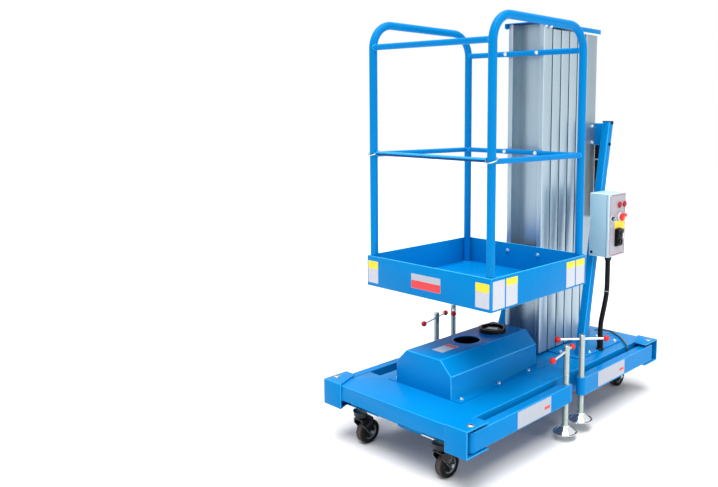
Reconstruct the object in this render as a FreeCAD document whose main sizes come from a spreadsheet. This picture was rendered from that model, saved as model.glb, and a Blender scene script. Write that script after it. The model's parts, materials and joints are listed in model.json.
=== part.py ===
import FreeCAD, Part
import math
import os
import re
import Sketcher

# Vertical mast lift, lowered, with its four outriggers folded along its long sides.
# Millimetres, +Z up, the origin on the floor under the middle of the base.
# The cover and the entry side of the platform face -Y, the mast stands towards +Y.

Vec = FreeCAD.Vector
doc = FreeCAD.newDocument("MastLift")

# Driving sizes
sizes = {
    # base
    "deckLong": 1440, "deckWide": 658, "deckTop": 250, "deckSheet": 4,
    "deckSideDrop": 95, "deckEndDrop": 62, "notchDeep": 66, "notchFront": 532, "notchBack": 100,
    "bracketReach": 73, "bracketTuck": 37, "bracketLong": 122, "bracketPlate": 6, "bracketEndWall": 5,
    "bracketChamfer": 52, "bracketLow": 149,
    "beamWide": 62, "beamIn": 78, "beamSheet": 4, "beamGap": 2,
    "panWide": 180, "panSet": 11, "panBack": 300, "panLow": 97, "panCorner": 10, "panGap": 0.5,
    # outriggers and their screw jacks
    "pivotOut": 48, "pivotIn": 45, "jackY": 60, "armWide": 40, "armTall": 78, "armLow": 160, "armWall": 3,
    "pinDia": 16, "pinHead": 28, "pinHeadTop": 19, "pinHeadTall": 6, "pinFit": 0.1,
    "sleeveRadius": 21, "screwRadius": 13.5, "screwFit": 0.1, "screwTop": 408, "nutHalf": 12,
    "footLow": 28, "footRadius": 52, "footRim": 3, "footShell": 3, "footCone": 46, "footNeck": 17,
    "footRise": 24, "footBoss": 8,
    "barRadius": 5, "barLong": 216, "ballRadius": 13.5, "ballFit": 0.05,
    "liftFrontLeft": 2, "liftFrontRight": 0, "liftRearRight": 18, "liftRearLeft": 20,
    "slideFrontLeft": 17, "slideFrontRight": 40, "frontBarDrop": 24.5, "rearBarDrop": 19,
    # casters
    "casterIn": 103, "casterEnd": 55, "trail": 28, "wheelRadius": 50, "tyreWide": 38, "tyreEdge": 9,
    "tyreInner": 36, "hubWide": 34, "hubDish": 6, "hubRim": 29, "hubBoss": 13, "hubBossFoot": 17,
    "hubBossEnd": 11, "hubSideGap": 1, "axleRadius": 5,
    "axleFit": 0.1, "crownLow": 110, "crownSheet": 4, "crownSkirt": 16, "forkHalf": 24, "forkLeg": 3,
    "forkEndHalf": 14, "forkEndLow": 11, "raceRadius": 22,
    "raceTall": 12, "casterGap": 0.3, "casterPlate": 5, "casterPlateLong": 84, "kingRadius": 6,
    "axleNut": 8, "axleNutTall": 5,
    # power unit cover
    "coverFront": 538, "coverBack": -31, "coverHalf": 154, "coverTopHalf": 96, "coverShoulder": 344,
    "coverTop": 401, "coverSheet": 3, "coverFootOut": 205, "coverFootSheet": 3,
    "holeRadius": 58, "holeY": 270, "collarY": 92, "collarRadius": 61, "collarInner": 49,
    "collarTall": 18, "gaugeRadius": 38, "gaugeTall": 12,
    "powerHalf": 120, "powerTall": 96, "powerFront": 500, "powerBack": 30,
    # mast
    "mastIn": 592, "mastPitch": 68.8, "mastGap": 5.5, "mastHalf": 100, "mastWall": 12,
    "mastLip": 24, "mastLipThick": 8, "mastWeb": 6, "railNeck": 22, "railHead": 164,
    "railHeadThick": 10, "railFit": 0.4, "mastBelowCap": 29, "mastClear": 8,
    "fixedBack": 44.7, "fixedStep": 2, "fixedFlange": 8,
    "capTop": 1785, "capSheet": 3, "capHalf": 110, "capLip": 22, "capAhead": 20, "capReach": 464,
    "footPlateHalf": 272, "footPlateSet": 87, "footPlateLip": 4, "footPlateSheet": 6,
    "cheekSheet": 6, "cheekTall": 52, "cheekGap": 0.5,
    # braces
    "braceWide": 40, "braceWall": 3, "braceFootX": 240, "braceFootSet": 137, "braceTopX": 154,
    "braceTopSet": 480, "braceTopZ": 1338, "bracePlateLow": 1222, "bracePlateTall": 108,
    "bracePlateHalf": 150, "bracePlateSheet": 6,
    "trunkIn": 94, "trunkWide": 28, "trunkDeep": 26, "trunkTop": 1300,
    # control box
    "boxSeat": 0.3, "boxDeep": 103, "boxSet": 217, "boxWide": 150, "boxLow": 714, "boxTall": 297,
    "panelSheet": 3, "panelInset": 1.5,
    "conduitRadius": 12.5, "glandLip": 3, "glandFlare": 7, "conduitSleeve": 2, "leadRadius": 4,
    # platform
    "trayHalf": 345, "trayFront": 528, "trayLow": 634, "trayTall": 131, "traySheet": 4,
    "trayFloorUp": 8,
    "postRadius": 17, "postGap": 1, "postFit": 0.1, "bendRadius": 104, "hoopBelow": 25, "backPostIn": 5,
    "crossRadius": 12.5, "crossBelow": 115, "midRadius": 11, "midZ": 1199,
    "spacerHalf": 12, "boltX": 88,
    "entryRadius": 9, "entryDrop": 10, "hookRadius": 3.5, "hookGap": 1, "hookSeat": 0.3,
}

# Places that follow from the sizes above
ties = {
    "bracketOut": "deckWide/2+bracketReach", "bracketIn": "deckWide/2-bracketTuck",
    "pivotX": "deckWide/2+pivotOut", "pivotY": "deckLong/2-pivotIn", "armLong": "pivotY-jackY",
    "beamPlace": "deckLong/2-beamIn", "panFront": "beamPlace-beamWide/2-panSet",
    "casterX": "deckWide/2-casterIn", "casterY": "deckLong/2-casterEnd",
    "mastFront": "deckLong/2-mastIn", "capFront": "mastFront-capAhead", "capBack": "mastFront+capReach",
    "footPlateFront": "mastFront+footPlateSet",
    "footPlateBack": "mastFront+6*mastPitch-mastGap+fixedBack+footPlateLip",
    "braceFootY": "mastFront+braceFootSet", "braceTopY": "mastFront+braceTopSet",
    "boxFront": "mastFront+boxSet",
    "mastTop": "capTop-mastBelowCap", "hoopTop": "capTop-hoopBelow", "crossZ": "hoopTop-crossBelow",
}

sheet = doc.addObject("Spreadsheet::Sheet", "Sizes")
cells = {**sizes, **{alias: "=" + text for alias, text in ties.items()}}
for row, (alias, value) in enumerate(cells.items(), start=1):
    sheet.set(f"A{row}", alias)
    sheet.set(f"B{row}", str(value))
    sheet.setAlias(f"B{row}", alias)
doc.recompute()


def size(alias):
    """The number that the sheet holds under a name."""
    return float(sheet.get(alias))


def formula(text):
    """Point each size's name in a formula at the sheet."""
    return re.sub(r"[A-Za-z]\w*", lambda word: "Sizes." + word.group(0) if word.group(0) in cells
                  else word.group(0), str(text))


def bind(item, **formulas):
    for name, text in formulas.items():
        item.setExpression(name.replace("_", "."), formula(text))
    return item


def place(item, x, y, z, rotation=None):
    if rotation is not None:
        item.Placement = FreeCAD.Placement(Vec(0, 0, 0), rotation)
    return bind(item, Placement_Base_x=x, Placement_Base_y=y, Placement_Base_z=z)


def box(name, corner, extent):
    """A block from its lowest corner and its extents, all as formulas."""
    item = doc.addObject("Part::Box", name)
    bind(item, Length=extent[0], Width=extent[1], Height=extent[2])
    return place(item, *corner)


alongX = FreeCAD.Rotation(Vec(0, 1, 0), 90)
alongY = FreeCAD.Rotation(Vec(1, 0, 0), -90)
alongZ = FreeCAD.Rotation()


def rod(name, start, radius, length, rotation=alongZ):
    item = doc.addObject("Part::Cylinder", name)
    bind(item, Radius=radius, Height=length)
    return place(item, *start, rotation)


def cone(name, start, low, high, length):
    item = doc.addObject("Part::Cone", name)
    bind(item, Radius1=low, Radius2=high, Height=length)
    return place(item, *start)


def ball(name, centre, radius):
    item = doc.addObject("Part::Sphere", name)
    bind(item, Radius=radius)
    return place(item, *centre)


def fuse(name, *shapes):
    item = doc.addObject("Part::MultiFuse", name)
    item.Shapes = list(shapes)
    item.Refine = True
    return item


def cut(name, base, tool):
    item = doc.addObject("Part::Cut", name)
    item.Base = base
    item.Tool = tool
    return item


def group(name, *shapes):
    item = doc.addObject("Part::Compound", name)
    item.Links = list(shapes)
    return item


def plane(body, role):
    return [part for part in body.Origin.OriginFeatures if part.Role == role][0]


def outline(body, name, role, points):
    """A closed outline on one of the body's own planes, each corner tied to the sheet."""
    sketch = body.newObject("Sketcher::SketchObject", name)
    sketch.AttachmentSupport = (plane(body, role), [""])
    sketch.MapMode = "FlatFace"
    start = [(number(a), number(b)) for a, b in points]
    count = len(start)
    for index, (a, b) in enumerate(start):
        following = start[(index + 1) % count]
        sketch.addGeometry(Part.LineSegment(Vec(a, b, 0), Vec(following[0], following[1], 0)))
    for index in range(count):
        sketch.addConstraint(Sketcher.Constraint("Coincident", index, 2, (index + 1) % count, 1))
    for index, (a, b) in enumerate(points):
        for kind, text, value in (("DistanceX", a, start[index][0]), ("DistanceY", b, start[index][1])):
            tie = sketch.addConstraint(Sketcher.Constraint(kind, -1, 1, index, 1, value))
            sketch.setExpression(f"Constraints[{tie}]", formula(text))
    return sketch


probe = doc.addObject("Part::Box", "Probe")


def number(text):
    """What a formula comes to, read from a property that is bound to it."""
    probe.setExpression("Placement.Base.x", formula(text))
    probe.recompute()
    return probe.Placement.Base.x


def padded(name, role, points, length, middle=False):
    body = doc.addObject("PartDesign::Body", name)
    sketch = outline(body, name + "Outline", role, points)
    pad = body.newObject("PartDesign::Pad", name + "Pad")
    pad.Profile = sketch
    bind(pad, Length=length)
    if middle:
        pad.SideType = "Symmetric"
    return body


def turned(name, points):
    """A body turned about X: the outline gives place along X and radius."""
    body = doc.addObject("PartDesign::Body", name)
    sketch = outline(body, name + "Outline", "XY_Plane", points)
    turn = body.newObject("PartDesign::Revolution", name + "Turn")
    turn.Profile = sketch
    turn.ReferenceAxis = (sketch, ["H_Axis"])
    turn.Angle = 360
    return body


parts = {}


def node(name, item):
    item.Label = name
    parts[name] = item
    return item


# Base: a folded deck with its side channels, open below
# and a notch in its left side beside the cover
def deckOutline(inset):
    return [(f"-deckWide/2+{inset}", f"-deckLong/2+{inset}"), (f"deckWide/2-{inset}", f"-deckLong/2+{inset}"),
            (f"deckWide/2-{inset}", f"deckLong/2-{inset}"), (f"-deckWide/2+{inset}", f"deckLong/2-{inset}"),
            (f"-deckWide/2+{inset}", f"-notchBack+{inset}"),
            (f"-deckWide/2+notchDeep+{inset}", f"-notchBack+{inset}"),
            (f"-deckWide/2+notchDeep+{inset}", f"-notchFront-{inset}"),
            (f"-deckWide/2+{inset}", f"-notchFront-{inset}")]


shell = padded("DeckOuter", "XY_Plane", deckOutline("0"), "deckSideDrop")
place(shell, "0", "0", "deckTop-deckSideDrop")
inner = padded("DeckInner", "XY_Plane", deckOutline("deckSheet"), "deckSideDrop+1-deckSheet")
place(inner, "0", "0", "deckTop-deckSideDrop-1")
endTrim = box("DeckEndTrim", ("-deckWide/2+deckSheet", "-deckLong/2-1", "deckTop-deckSideDrop-1"),
              ("deckWide-2*deckSheet", "deckLong+2", "deckSideDrop+1-deckEndDrop"))
node("deck", cut("Deck", shell, fuse("DeckTools", inner, endTrim)))

# Corners: side along X, side along Y, how far the foot is screwed up, the angle of its bar,
# how far the bar is slid through the screw and how far it lies below the screw's top.
# The rear bars lie higher than the front ones, so that their balls swing over them.
corners = [
    ("front_left", -1, -1, "liftFrontLeft", 105, "-slideFrontLeft", "frontBarDrop"),
    ("front_right", 1, -1, "liftFrontRight", 102, "-slideFrontRight", "frontBarDrop"),
    ("rear_right", 1, 1, "liftRearRight", 47, "0", "rearBarDrop"),
    ("rear_left", -1, 1, "liftRearLeft", 133, "0", "rearBarDrop"),
]


def mirrored(side, low, high):
    """The lowest place of a span that is mirrored to one side."""
    return low if side > 0 else f"-({high})"


brackets = []
bolts = []
plates = []
for corner, sideX, sideY, *_ in corners:
    tag = corner.title().replace("_", "")
    endY = "deckLong/2+bracketEndWall"
    backY = "deckLong/2+bracketEndWall-bracketLong"
    plateOutline = [(f"{sideX}*bracketIn", f"{sideY}*({endY})"), (f"{sideX}*bracketOut", f"{sideY}*({endY})"),
                    (f"{sideX}*bracketOut", f"{sideY}*({backY})"),
                    (f"{sideX}*(bracketIn+bracketChamfer)", f"{sideY}*({backY})")]
    top = padded("TopPlate" + tag, "XY_Plane", plateOutline, "bracketPlate")
    place(top, "0", "0", "deckTop")
    bottom = padded("BottomPlate" + tag, "XY_Plane", plateOutline, "bracketPlate")
    place(bottom, "0", "0", "bracketLow")
    wall = box("EndWall" + tag, (mirrored(sideX, "bracketIn", "bracketOut"),
                                 mirrored(sideY, "deckLong/2", "deckLong/2+bracketEndWall"), "bracketLow"),
               ("bracketOut-bracketIn", "bracketEndWall", "deckTop+bracketPlate-bracketLow"))
    bore = rod("PinBore" + tag, (f"{sideX}*pivotX", f"{sideY}*pivotY", "bracketLow-1"),
               "pinDia/2+pinFit", "deckTop+bracketPlate-bracketLow+2")
    brackets.append(cut("Bracket" + tag, fuse("BracketBlank" + tag, top, bottom, wall), bore))
    shank = rod("Shank" + tag, (f"{sideX}*pivotX", f"{sideY}*pivotY", "bracketLow-pinHeadTall"),
                "pinDia/2", "deckTop+bracketPlate-bracketLow+pinHeadTall")
    head = cone("Head" + tag, (f"{sideX}*pivotX", f"{sideY}*pivotY", "deckTop+bracketPlate"),
                "pinHead/2", "pinHeadTop/2", "pinHeadTall")
    nut = rod("Nut" + tag, (f"{sideX}*pivotX", f"{sideY}*pivotY", "bracketLow-pinHeadTall"),
              "nutHalf", "pinHeadTall")
    bolts.append(fuse("Pin" + tag, shank, head, nut))
node("corner_brackets", group("Brackets", *brackets))
node("pivot_pins", group("Pins", *bolts))

# Two folded beams under the deck carry the casters
beams = []
for end, sideY in (("Front", -1), ("Rear", 1)):
    beamTop = "deckTop-deckSheet"
    beamLow = "crownLow+crownSheet+raceTall+casterGap+casterPlate"
    low = mirrored(sideY, "beamPlace-beamWide/2", "beamPlace+beamWide/2")
    outer = box("Beam" + end, ("-(bracketIn-beamGap)", low, beamLow),
                ("2*(bracketIn-beamGap)", "beamWide", f"{beamTop}-({beamLow})"))
    hollowLow = mirrored(sideY, "beamPlace-beamWide/2-1", "beamPlace+beamWide/2-beamSheet")
    hollow = box("BeamHollow" + end, ("-deckWide/2", hollowLow, f"{beamLow}+beamSheet"),
                 ("deckWide", "beamWide-beamSheet+1", f"{beamTop}-({beamLow})-2*beamSheet"))
    beams.append(cut("FoldedBeam" + end, outer, hollow))
node("caster_beams", group("CasterBeams", *beams))

# Belly pan under the power unit, with its lower front edge cut off at a slant
panOutline = [("-panWide/2", "panLow+panCorner"), ("-panWide/2+panCorner", "panLow"),
              ("panWide/2-panCorner", "panLow"), ("panWide/2", "panLow+panCorner"),
              ("panWide/2", "deckTop-deckSheet"), ("-panWide/2", "deckTop-deckSheet")]
pan = padded("BellyPan", "XZ_Plane", panOutline, "panFront+panBack", middle=True)
place(pan, "0", "(panBack-panFront)/2", "0")
panCut = box("PanBeamGap", ("-panWide/2-1", "-beamPlace-beamWide/2-panGap", "panLow-1"),
             ("panWide+2", "beamWide+2*panGap", "deckTop"))
node("belly_pan", cut("BellyPanTrimmed", pan, panCut))

# Power unit cover: folded sheet with both long top edges chamfered, feet on the deck
coverOutline = [("-coverHalf", "deckTop"), ("coverHalf", "deckTop"), ("coverHalf", "coverShoulder"),
                ("coverTopHalf", "coverTop"), ("-coverTopHalf", "coverTop"), ("-coverHalf", "coverShoulder")]
coverInner = [("-coverHalf+coverSheet", "deckTop-1"), ("coverHalf-coverSheet", "deckTop-1"),
              ("coverHalf-coverSheet", "coverShoulder-coverSheet/2"),
              ("coverTopHalf-coverSheet/2", "coverTop-coverSheet"),
              ("-coverTopHalf+coverSheet/2", "coverTop-coverSheet"),
              ("-coverHalf+coverSheet", "coverShoulder-coverSheet/2")]
coverLong = "coverFront-coverBack"
coverBody = padded("CoverBlank", "XZ_Plane", coverOutline, coverLong, middle=True)
place(coverBody, "0", "-(coverFront+coverBack)/2", "0")
coverRoom = padded("CoverRoom", "XZ_Plane", coverInner, f"{coverLong}-2*coverSheet", middle=True)
place(coverRoom, "0", "-(coverFront+coverBack)/2", "0")
roundHole = rod("CoverHole", ("0", "-holeY", "coverTop-coverSheet-1"), "holeRadius", "coverSheet+2")
coverShell = cut("CoverShell", coverBody, fuse("CoverTools", coverRoom, roundHole))
feet = []
for side, sideX in (("Left", -1), ("Right", 1)):
    feet.append(box("CoverFoot" + side, (mirrored(sideX, "coverHalf-coverSheet", "coverFootOut"),
                                         "-coverFront", "deckTop"),
                    ("coverFootOut-coverHalf+coverSheet", coverLong, "coverFootSheet")))
node("power_cover", fuse("PowerCover", coverShell, *feet))
node("power_unit", box("PowerUnit", ("-powerHalf", "-powerFront", "deckTop"),
                       ("2*powerHalf", "powerFront-powerBack", "powerTall")))
collar = cut("Collar", rod("CollarOuter", ("0", "-collarY", "coverTop"), "collarRadius", "collarTall"),
             rod("CollarBore", ("0", "-collarY", "coverTop-1"), "collarInner", "collarTall+2"))
node("filler_collar", collar)
node("gauge_insert", rod("GaugeInsert", ("0", "-collarY", "coverTop"), "gaugeRadius", "gaugeTall"))

# Mast foot: a plate on the deck and two cheeks beside the fixed section
mastDepth = "(mastPitch-mastGap)"
fixedFront = "(mastFront+5*mastPitch)"
mastBase = "(deckTop+footPlateSheet)"
footPlate = box("FootPlate", ("-footPlateHalf", "footPlateFront", "deckTop"),
                ("2*footPlateHalf", "footPlateBack-footPlateFront", "footPlateSheet"))
cheeks = [box("Cheek" + side, (mirrored(sideX, "mastHalf+cheekGap", "mastHalf+cheekGap+cheekSheet"),
                               "footPlateFront", mastBase),
              ("cheekSheet", "footPlateBack-footPlateFront", "cheekTall"))
          for side, sideX in (("Left", -1), ("Right", 1))]
node("mast_foot", fuse("MastFoot", footPlate, *cheeks))


# Mast sections: C profiles open to the front, each with a T rail on its back that runs
# behind the lips of the next one; the fixed one has two flanges there instead
def sectionOutline(withRail):
    front = [("-mastHalf", "0"), ("-(mastHalf-mastLip)", "0"), ("-(mastHalf-mastLip)", "mastLipThick"),
             ("-(mastHalf-mastWall)", "mastLipThick"), ("-(mastHalf-mastWall)", f"{mastDepth}-mastWeb"),
             ("mastHalf-mastWall", f"{mastDepth}-mastWeb"), ("mastHalf-mastWall", "mastLipThick"),
             ("mastHalf-mastLip", "mastLipThick"), ("mastHalf-mastLip", "0"), ("mastHalf", "0"),
             ("mastHalf", mastDepth)]
    headFront = "mastPitch+mastLipThick+railFit"
    rail = [("railNeck", mastDepth), ("railNeck", headFront), ("railHead/2", headFront),
            ("railHead/2", f"{headFront}+railHeadThick"), ("-railHead/2", f"{headFront}+railHeadThick"),
            ("-railHead/2", headFront), ("-railNeck", headFront), ("-railNeck", mastDepth)]
    flangeOut = "mastHalf-fixedStep"
    flangeIn = "mastHalf-fixedStep-fixedFlange"
    flangeBack = f"{mastDepth}+fixedBack"
    flanges = [(flangeOut, mastDepth), (flangeOut, flangeBack), (flangeIn, flangeBack), (flangeIn, mastDepth),
               (f"-({flangeIn})", mastDepth), (f"-({flangeIn})", flangeBack),
               (f"-({flangeOut})", flangeBack), (f"-({flangeOut})", mastDepth)]
    return front + (rail if withRail else flanges) + [("-mastHalf", mastDepth)]


sections = 6
for index in range(1, sections + 1):
    low = mastBase if index == 1 else f"{mastBase}+mastClear"
    high = "capTop-capSheet" if index == sections else "mastTop"
    section = padded(f"Section{index}", "XY_Plane", sectionOutline(index > 1), f"{high}-({low})")
    place(section, "0", f"mastFront+{sections - index}*mastPitch", low)
    node(f"mast_section_{index}", section)

capPlate = box("CapPlate", ("-capHalf", "capFront", "capTop-capSheet"),
               ("2*capHalf", "capBack-capFront", "capSheet"))
capLips = [box("CapLip" + side, (mirrored(sideX, "capHalf-capSheet", "capHalf"), "capFront",
                                 "capTop-capLip"),
               ("capSheet", "capBack-capFront", "capLip"))
           for side, sideX in (("Left", -1), ("Right", 1))]
node("mast_cap", fuse("MastCap", capPlate, *capLips))

# Braces: square tubes from the foot plate up to a plate across the back of the fixed section
braces = []
braceRooms = []
for side, sideX in (("Left", -1), ("Right", 1)):
    low = Vec(sideX * size("braceFootX"), size("braceFootY"), number(mastBase))
    high = Vec(sideX * size("braceTopX"), size("braceTopY"), size("braceTopZ"))
    run = high - low
    half = size("braceWide") / 2
    room = half - size("braceWall")

    def squareTube(reach):
        ring = [Vec(-reach, -reach, 0), Vec(reach, -reach, 0), Vec(reach, reach, 0), Vec(-reach, reach, 0)]
        face = Part.Face(Part.makePolygon(ring + ring[:1]))
        face.translate(low - run * 0.1)
        return face.extrude(run * 1.1)

    outside = doc.addObject("Part::Feature", "BraceOutside" + side)
    outside.Shape = squareTube(half)
    braceRooms.append(outside)
    tube = squareTube(half).cut(squareTube(room))
    floorTrim = Part.makeBox(2000, 2000, 2000, Vec(-1000, -1000, low.z - 2000))
    item = doc.addObject("Part::Feature", "Brace" + side)
    item.Shape = tube.cut(floorTrim)
    braces.append(item)
node("mast_braces", group("Braces", *braces))
fixedRear = f"({fixedFront}+{mastDepth}+fixedBack)"
backPlate = box("BackPlate", ("-bracePlateHalf", fixedRear, "bracePlateLow"),
                ("2*bracePlateHalf", "bracePlateSheet", "bracePlateTall"))
node("brace_plates", cut("BracePlates", backPlate, fuse("BraceRooms", *braceRooms)))

# Black cable trunk behind the mast's right edge, from the deck up to the back plate
node("cable_trunk", box("CableTrunk", ("trunkIn", f"{fixedRear}+bracePlateSheet", "deckTop"),
                        ("trunkWide", "trunkDeep", "trunkTop-deckTop")))

# Control box beside the right brace, which it meets at its lower edge, its panel facing +X
boxRise = f"(boxLow-{mastBase})/(braceTopZ-{mastBase})"
boxIn = f"(braceFootX-(braceFootX-braceTopX)*{boxRise}+braceWide/2+boxSeat)"
boxOut = f"({boxIn}+boxDeep)"
node("control_box", box("ControlBox", (boxIn, "boxFront", "boxLow"), ("boxDeep", "boxWide", "boxTall")))
node("control_panel", box("ControlPanel", (boxOut, "boxFront+panelInset", "boxLow+panelInset"),
                          ("panelSheet", "boxWide-2*panelInset", "boxTall-2*panelInset")))
panelFace = f"({boxOut}+panelSheet)"
# Buttons: place along the panel and up it, radius, how far it stands out
buttons = [
    ("LampFront", 84, 246, 11, 10),
    ("LampRear", 118, 246, 11, 10),
    ("StopButton", 96, 184, 17, 22),
    ("StartButton", 136, 188, 9, 12),
]
redParts = [rod(name, (panelFace, f"boxFront+{along}", f"boxLow+{up}"), str(radius), str(out), alongX)
            for name, along, up, radius, out in buttons]
node("panel_buttons", group("PanelButtons", *redParts))
keyAlong, keyUp, keyRadius, keyOut = 40, 182, 12, 16
socketAlong, socketUp, socketOut, socketWide, socketTall = 52, 48, 26, 50, 84
keySwitch = rod("KeySwitch", (panelFace, f"boxFront+{keyAlong}", f"boxLow+{keyUp}"), str(keyRadius),
                str(keyOut), alongX)
socket = box("SocketBlock", (panelFace, f"boxFront+{socketAlong}", f"boxLow+{socketUp}"),
             (str(socketOut), str(socketWide), str(socketTall)))
node("panel_switches", group("PanelSwitches", keySwitch, socket))

# The conduit runs from the gland under the box down to a sleeve on the deck.
# The routes of the two cords give their places along Y from the mast's front.
conduitRoute = [(284, 292, 692), (284, 292, 612), (286, 287, 530), (277, 276, 448), (267, 269, 380),
                (267, 269, 300)]
conduitPoints = [(x, y + size("mastFront"), z) for x, y, z in conduitRoute]


def cordTube(name, points, radius):
    """A tube of straight runs joined by arcs as large as the runs allow."""
    corners = [Vec(*point) for point in points]
    edges = []
    last = corners[0]
    radii = []
    for index in range(1, len(corners) - 1):
        before = corners[index] - corners[index - 1]
        after = corners[index + 1] - corners[index]
        turn = before.getAngle(after)
        reach = 0.45 * min(before.Length, after.Length)
        radii.append(reach / math.tan(turn / 2))
        start = corners[index] - before.normalize() * reach
        end = corners[index] + after.normalize() * reach
        middleWay = (start + end) * 0.5 - corners[index]
        arcRadius = radii[-1]
        centreFar = math.sqrt(arcRadius ** 2 + reach ** 2)
        middle = corners[index] + middleWay.normalize() * (centreFar - arcRadius)
        edges.append(Part.LineSegment(last, start).toShape())
        edges.append(Part.Arc(start, middle, end).toShape())
        last = end
    edges.append(Part.LineSegment(last, corners[-1]).toShape())
    path = Part.Wire(edges)
    ring = Part.Wire([Part.Circle(corners[0], corners[1] - corners[0], radius).toShape()])
    tube = path.makePipeShell([ring], True, False)
    share = tube.Volume / (math.pi * radius ** 2 * path.Length)
    print(name, "length", round(path.Length, 1), "radii", [round(r) for r in radii],
          "volume", round(share, 4))
    item = doc.addObject("Part::Feature", name)
    item.Shape = tube
    return item


upperEnd = conduitPoints[0]
lowerEnd = conduitPoints[-1]
node("conduit_gland", cone("Gland", [str(spot) for spot in upperEnd], "conduitRadius+glandLip",
                           "conduitRadius+glandFlare", f"boxLow-{upperEnd[2]}"))
node("control_conduit", cordTube("Conduit", conduitPoints, size("conduitRadius")))
# The thin lead leaves the trunk's foot, lies over the deck and goes down its right side
leadRoute = [(108, 484, 268), (108, 524, 264), (150, 570, 254.3), (251, 500, 254.3), (320, 424, 254.3),
             (345, 396, 254), (345, 396, 178), (329, 396, 178)]
leadPoints = [(x, y + size("mastFront"), z) for x, y, z in leadRoute]
node("thin_lead", cordTube("ThinLead", leadPoints, size("leadRadius")))
node("conduit_sleeve", rod("Sleeve", (str(lowerEnd[0]), str(lowerEnd[1]), mastBase),
                           "conduitRadius+conduitSleeve", f"{lowerEnd[2]}-{mastBase}"))

# Platform: a tray with toe boards, its floor a little above the walls' lower edge
trayBack = "mastFront"
trayOuter = box("TrayOuter", ("-trayHalf", "-trayFront", "trayLow"),
                ("2*trayHalf", f"trayFront+{trayBack}", "trayTall"))
trayRoom = box("TrayRoom", ("-trayHalf+traySheet", "-trayFront+traySheet", "trayLow+trayFloorUp+traySheet"),
               ("2*trayHalf-2*traySheet", f"trayFront+{trayBack}-2*traySheet", "trayTall"))
trayBelow = box("TrayBelow", ("-trayHalf+traySheet", "-trayFront+traySheet", "trayLow-1"),
                ("2*trayHalf-2*traySheet", f"trayFront+{trayBack}-2*traySheet", "trayFloorUp+1"))
postX = "(trayHalf-traySheet-postGap-postRadius)"
frontPostY = "(-trayFront+traySheet+postGap+postRadius)"
backPostY = "(mastFront-traySheet-postGap-postRadius-backPostIn)"
floorLow = "(trayLow+trayFloorUp)"
postHoles = [rod(f"PostHole{end}{side}", (f"{sideX}*{postX}", postY, "trayLow"), "postRadius+postFit",
                 "trayFloorUp+2*traySheet")
             for side, sideX in (("Left", -1), ("Right", 1))
             for end, postY in (("Front", frontPostY), ("Back", backPostY))]
node("platform_tray", cut("PlatformTray", trayOuter, fuse("TrayTools", trayRoom, trayBelow, *postHoles)))
hoopZ = "(hoopTop-postRadius)"


def hoop(name, sideX):
    """One side frame: a post, a large bend, the top run, a bend and the other post."""
    x = sideX * number(postX)
    front = number(frontPostY)
    back = number(backPostY)
    low = number(floorLow)
    high = number(hoopZ)
    bend = size("bendRadius")
    inset = bend * (1 - math.cos(math.pi / 4))
    path = Part.Wire([
        Part.LineSegment(Vec(x, front, low), Vec(x, front, high - bend)).toShape(),
        Part.Arc(Vec(x, front, high - bend), Vec(x, front + inset, high - inset),
                 Vec(x, front + bend, high)).toShape(),
        Part.LineSegment(Vec(x, front + bend, high), Vec(x, back - bend, high)).toShape(),
        Part.Arc(Vec(x, back - bend, high), Vec(x, back - inset, high - inset),
                 Vec(x, back, high - bend)).toShape(),
        Part.LineSegment(Vec(x, back, high - bend), Vec(x, back, low)).toShape(),
    ])
    ring = Part.Wire([Part.Circle(Vec(x, front, low), Vec(0, 0, 1), size("postRadius")).toShape()])
    item = doc.addObject("Part::Feature", name)
    item.Shape = path.makePipeShell([ring], True, False)
    return item


leftHoop = hoop("HoopLeft", -1)
rightHoop = hoop("HoopRight", 1)
node("guard_hoop_left", leftHoop)
node("guard_hoop_right", rightHoop)
hoops = fuse("BothHoops", leftHoop, rightHoop)

crossLong = f"2*{postX}"
sideLong = f"({backPostY}-{frontPostY})"
rails = [
    rod("FrontTopRail", (f"-{postX}", frontPostY, "crossZ"), "crossRadius", crossLong, alongX),
    rod("BackTopRail", (f"-{postX}", backPostY, "crossZ"), "crossRadius", crossLong, alongX),
    rod("BackMidRail", (f"-{postX}", backPostY, "midZ"), "midRadius", crossLong, alongX),
    rod("LeftMidRail", (f"-{postX}", frontPostY, "midZ"), "midRadius", sideLong, alongY),
    rod("RightMidRail", (postX, frontPostY, "midZ"), "midRadius", sideLong, alongY),
]
node("guard_rails", group("GuardRails", *[cut(rail.Name + "Coped", rail, hoops) for rail in rails]))

# Spacers between the back rails and the mast's lips
spacers = []
for railZ, radius, tag in (("crossZ", "crossRadius", "Top"), ("midZ", "midRadius", "Mid")):
    for side, sideX in (("Left", -1), ("Right", 1)):
        block = box("Spacer" + tag + side,
                    (mirrored(sideX, "boltX-spacerHalf", "boltX+spacerHalf"), backPostY,
                     f"{railZ}-spacerHalf"),
                    ("2*spacerHalf", f"mastFront-{backPostY}", "2*spacerHalf"))
        bed = rod("SpacerBed" + tag + side, ("-trayHalf", backPostY, railZ), radius, "2*trayHalf", alongX)
        spacers.append(cut("RailSpacer" + tag + side, block, bed))
node("rail_spacers", group("RailSpacers", *spacers))

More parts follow.
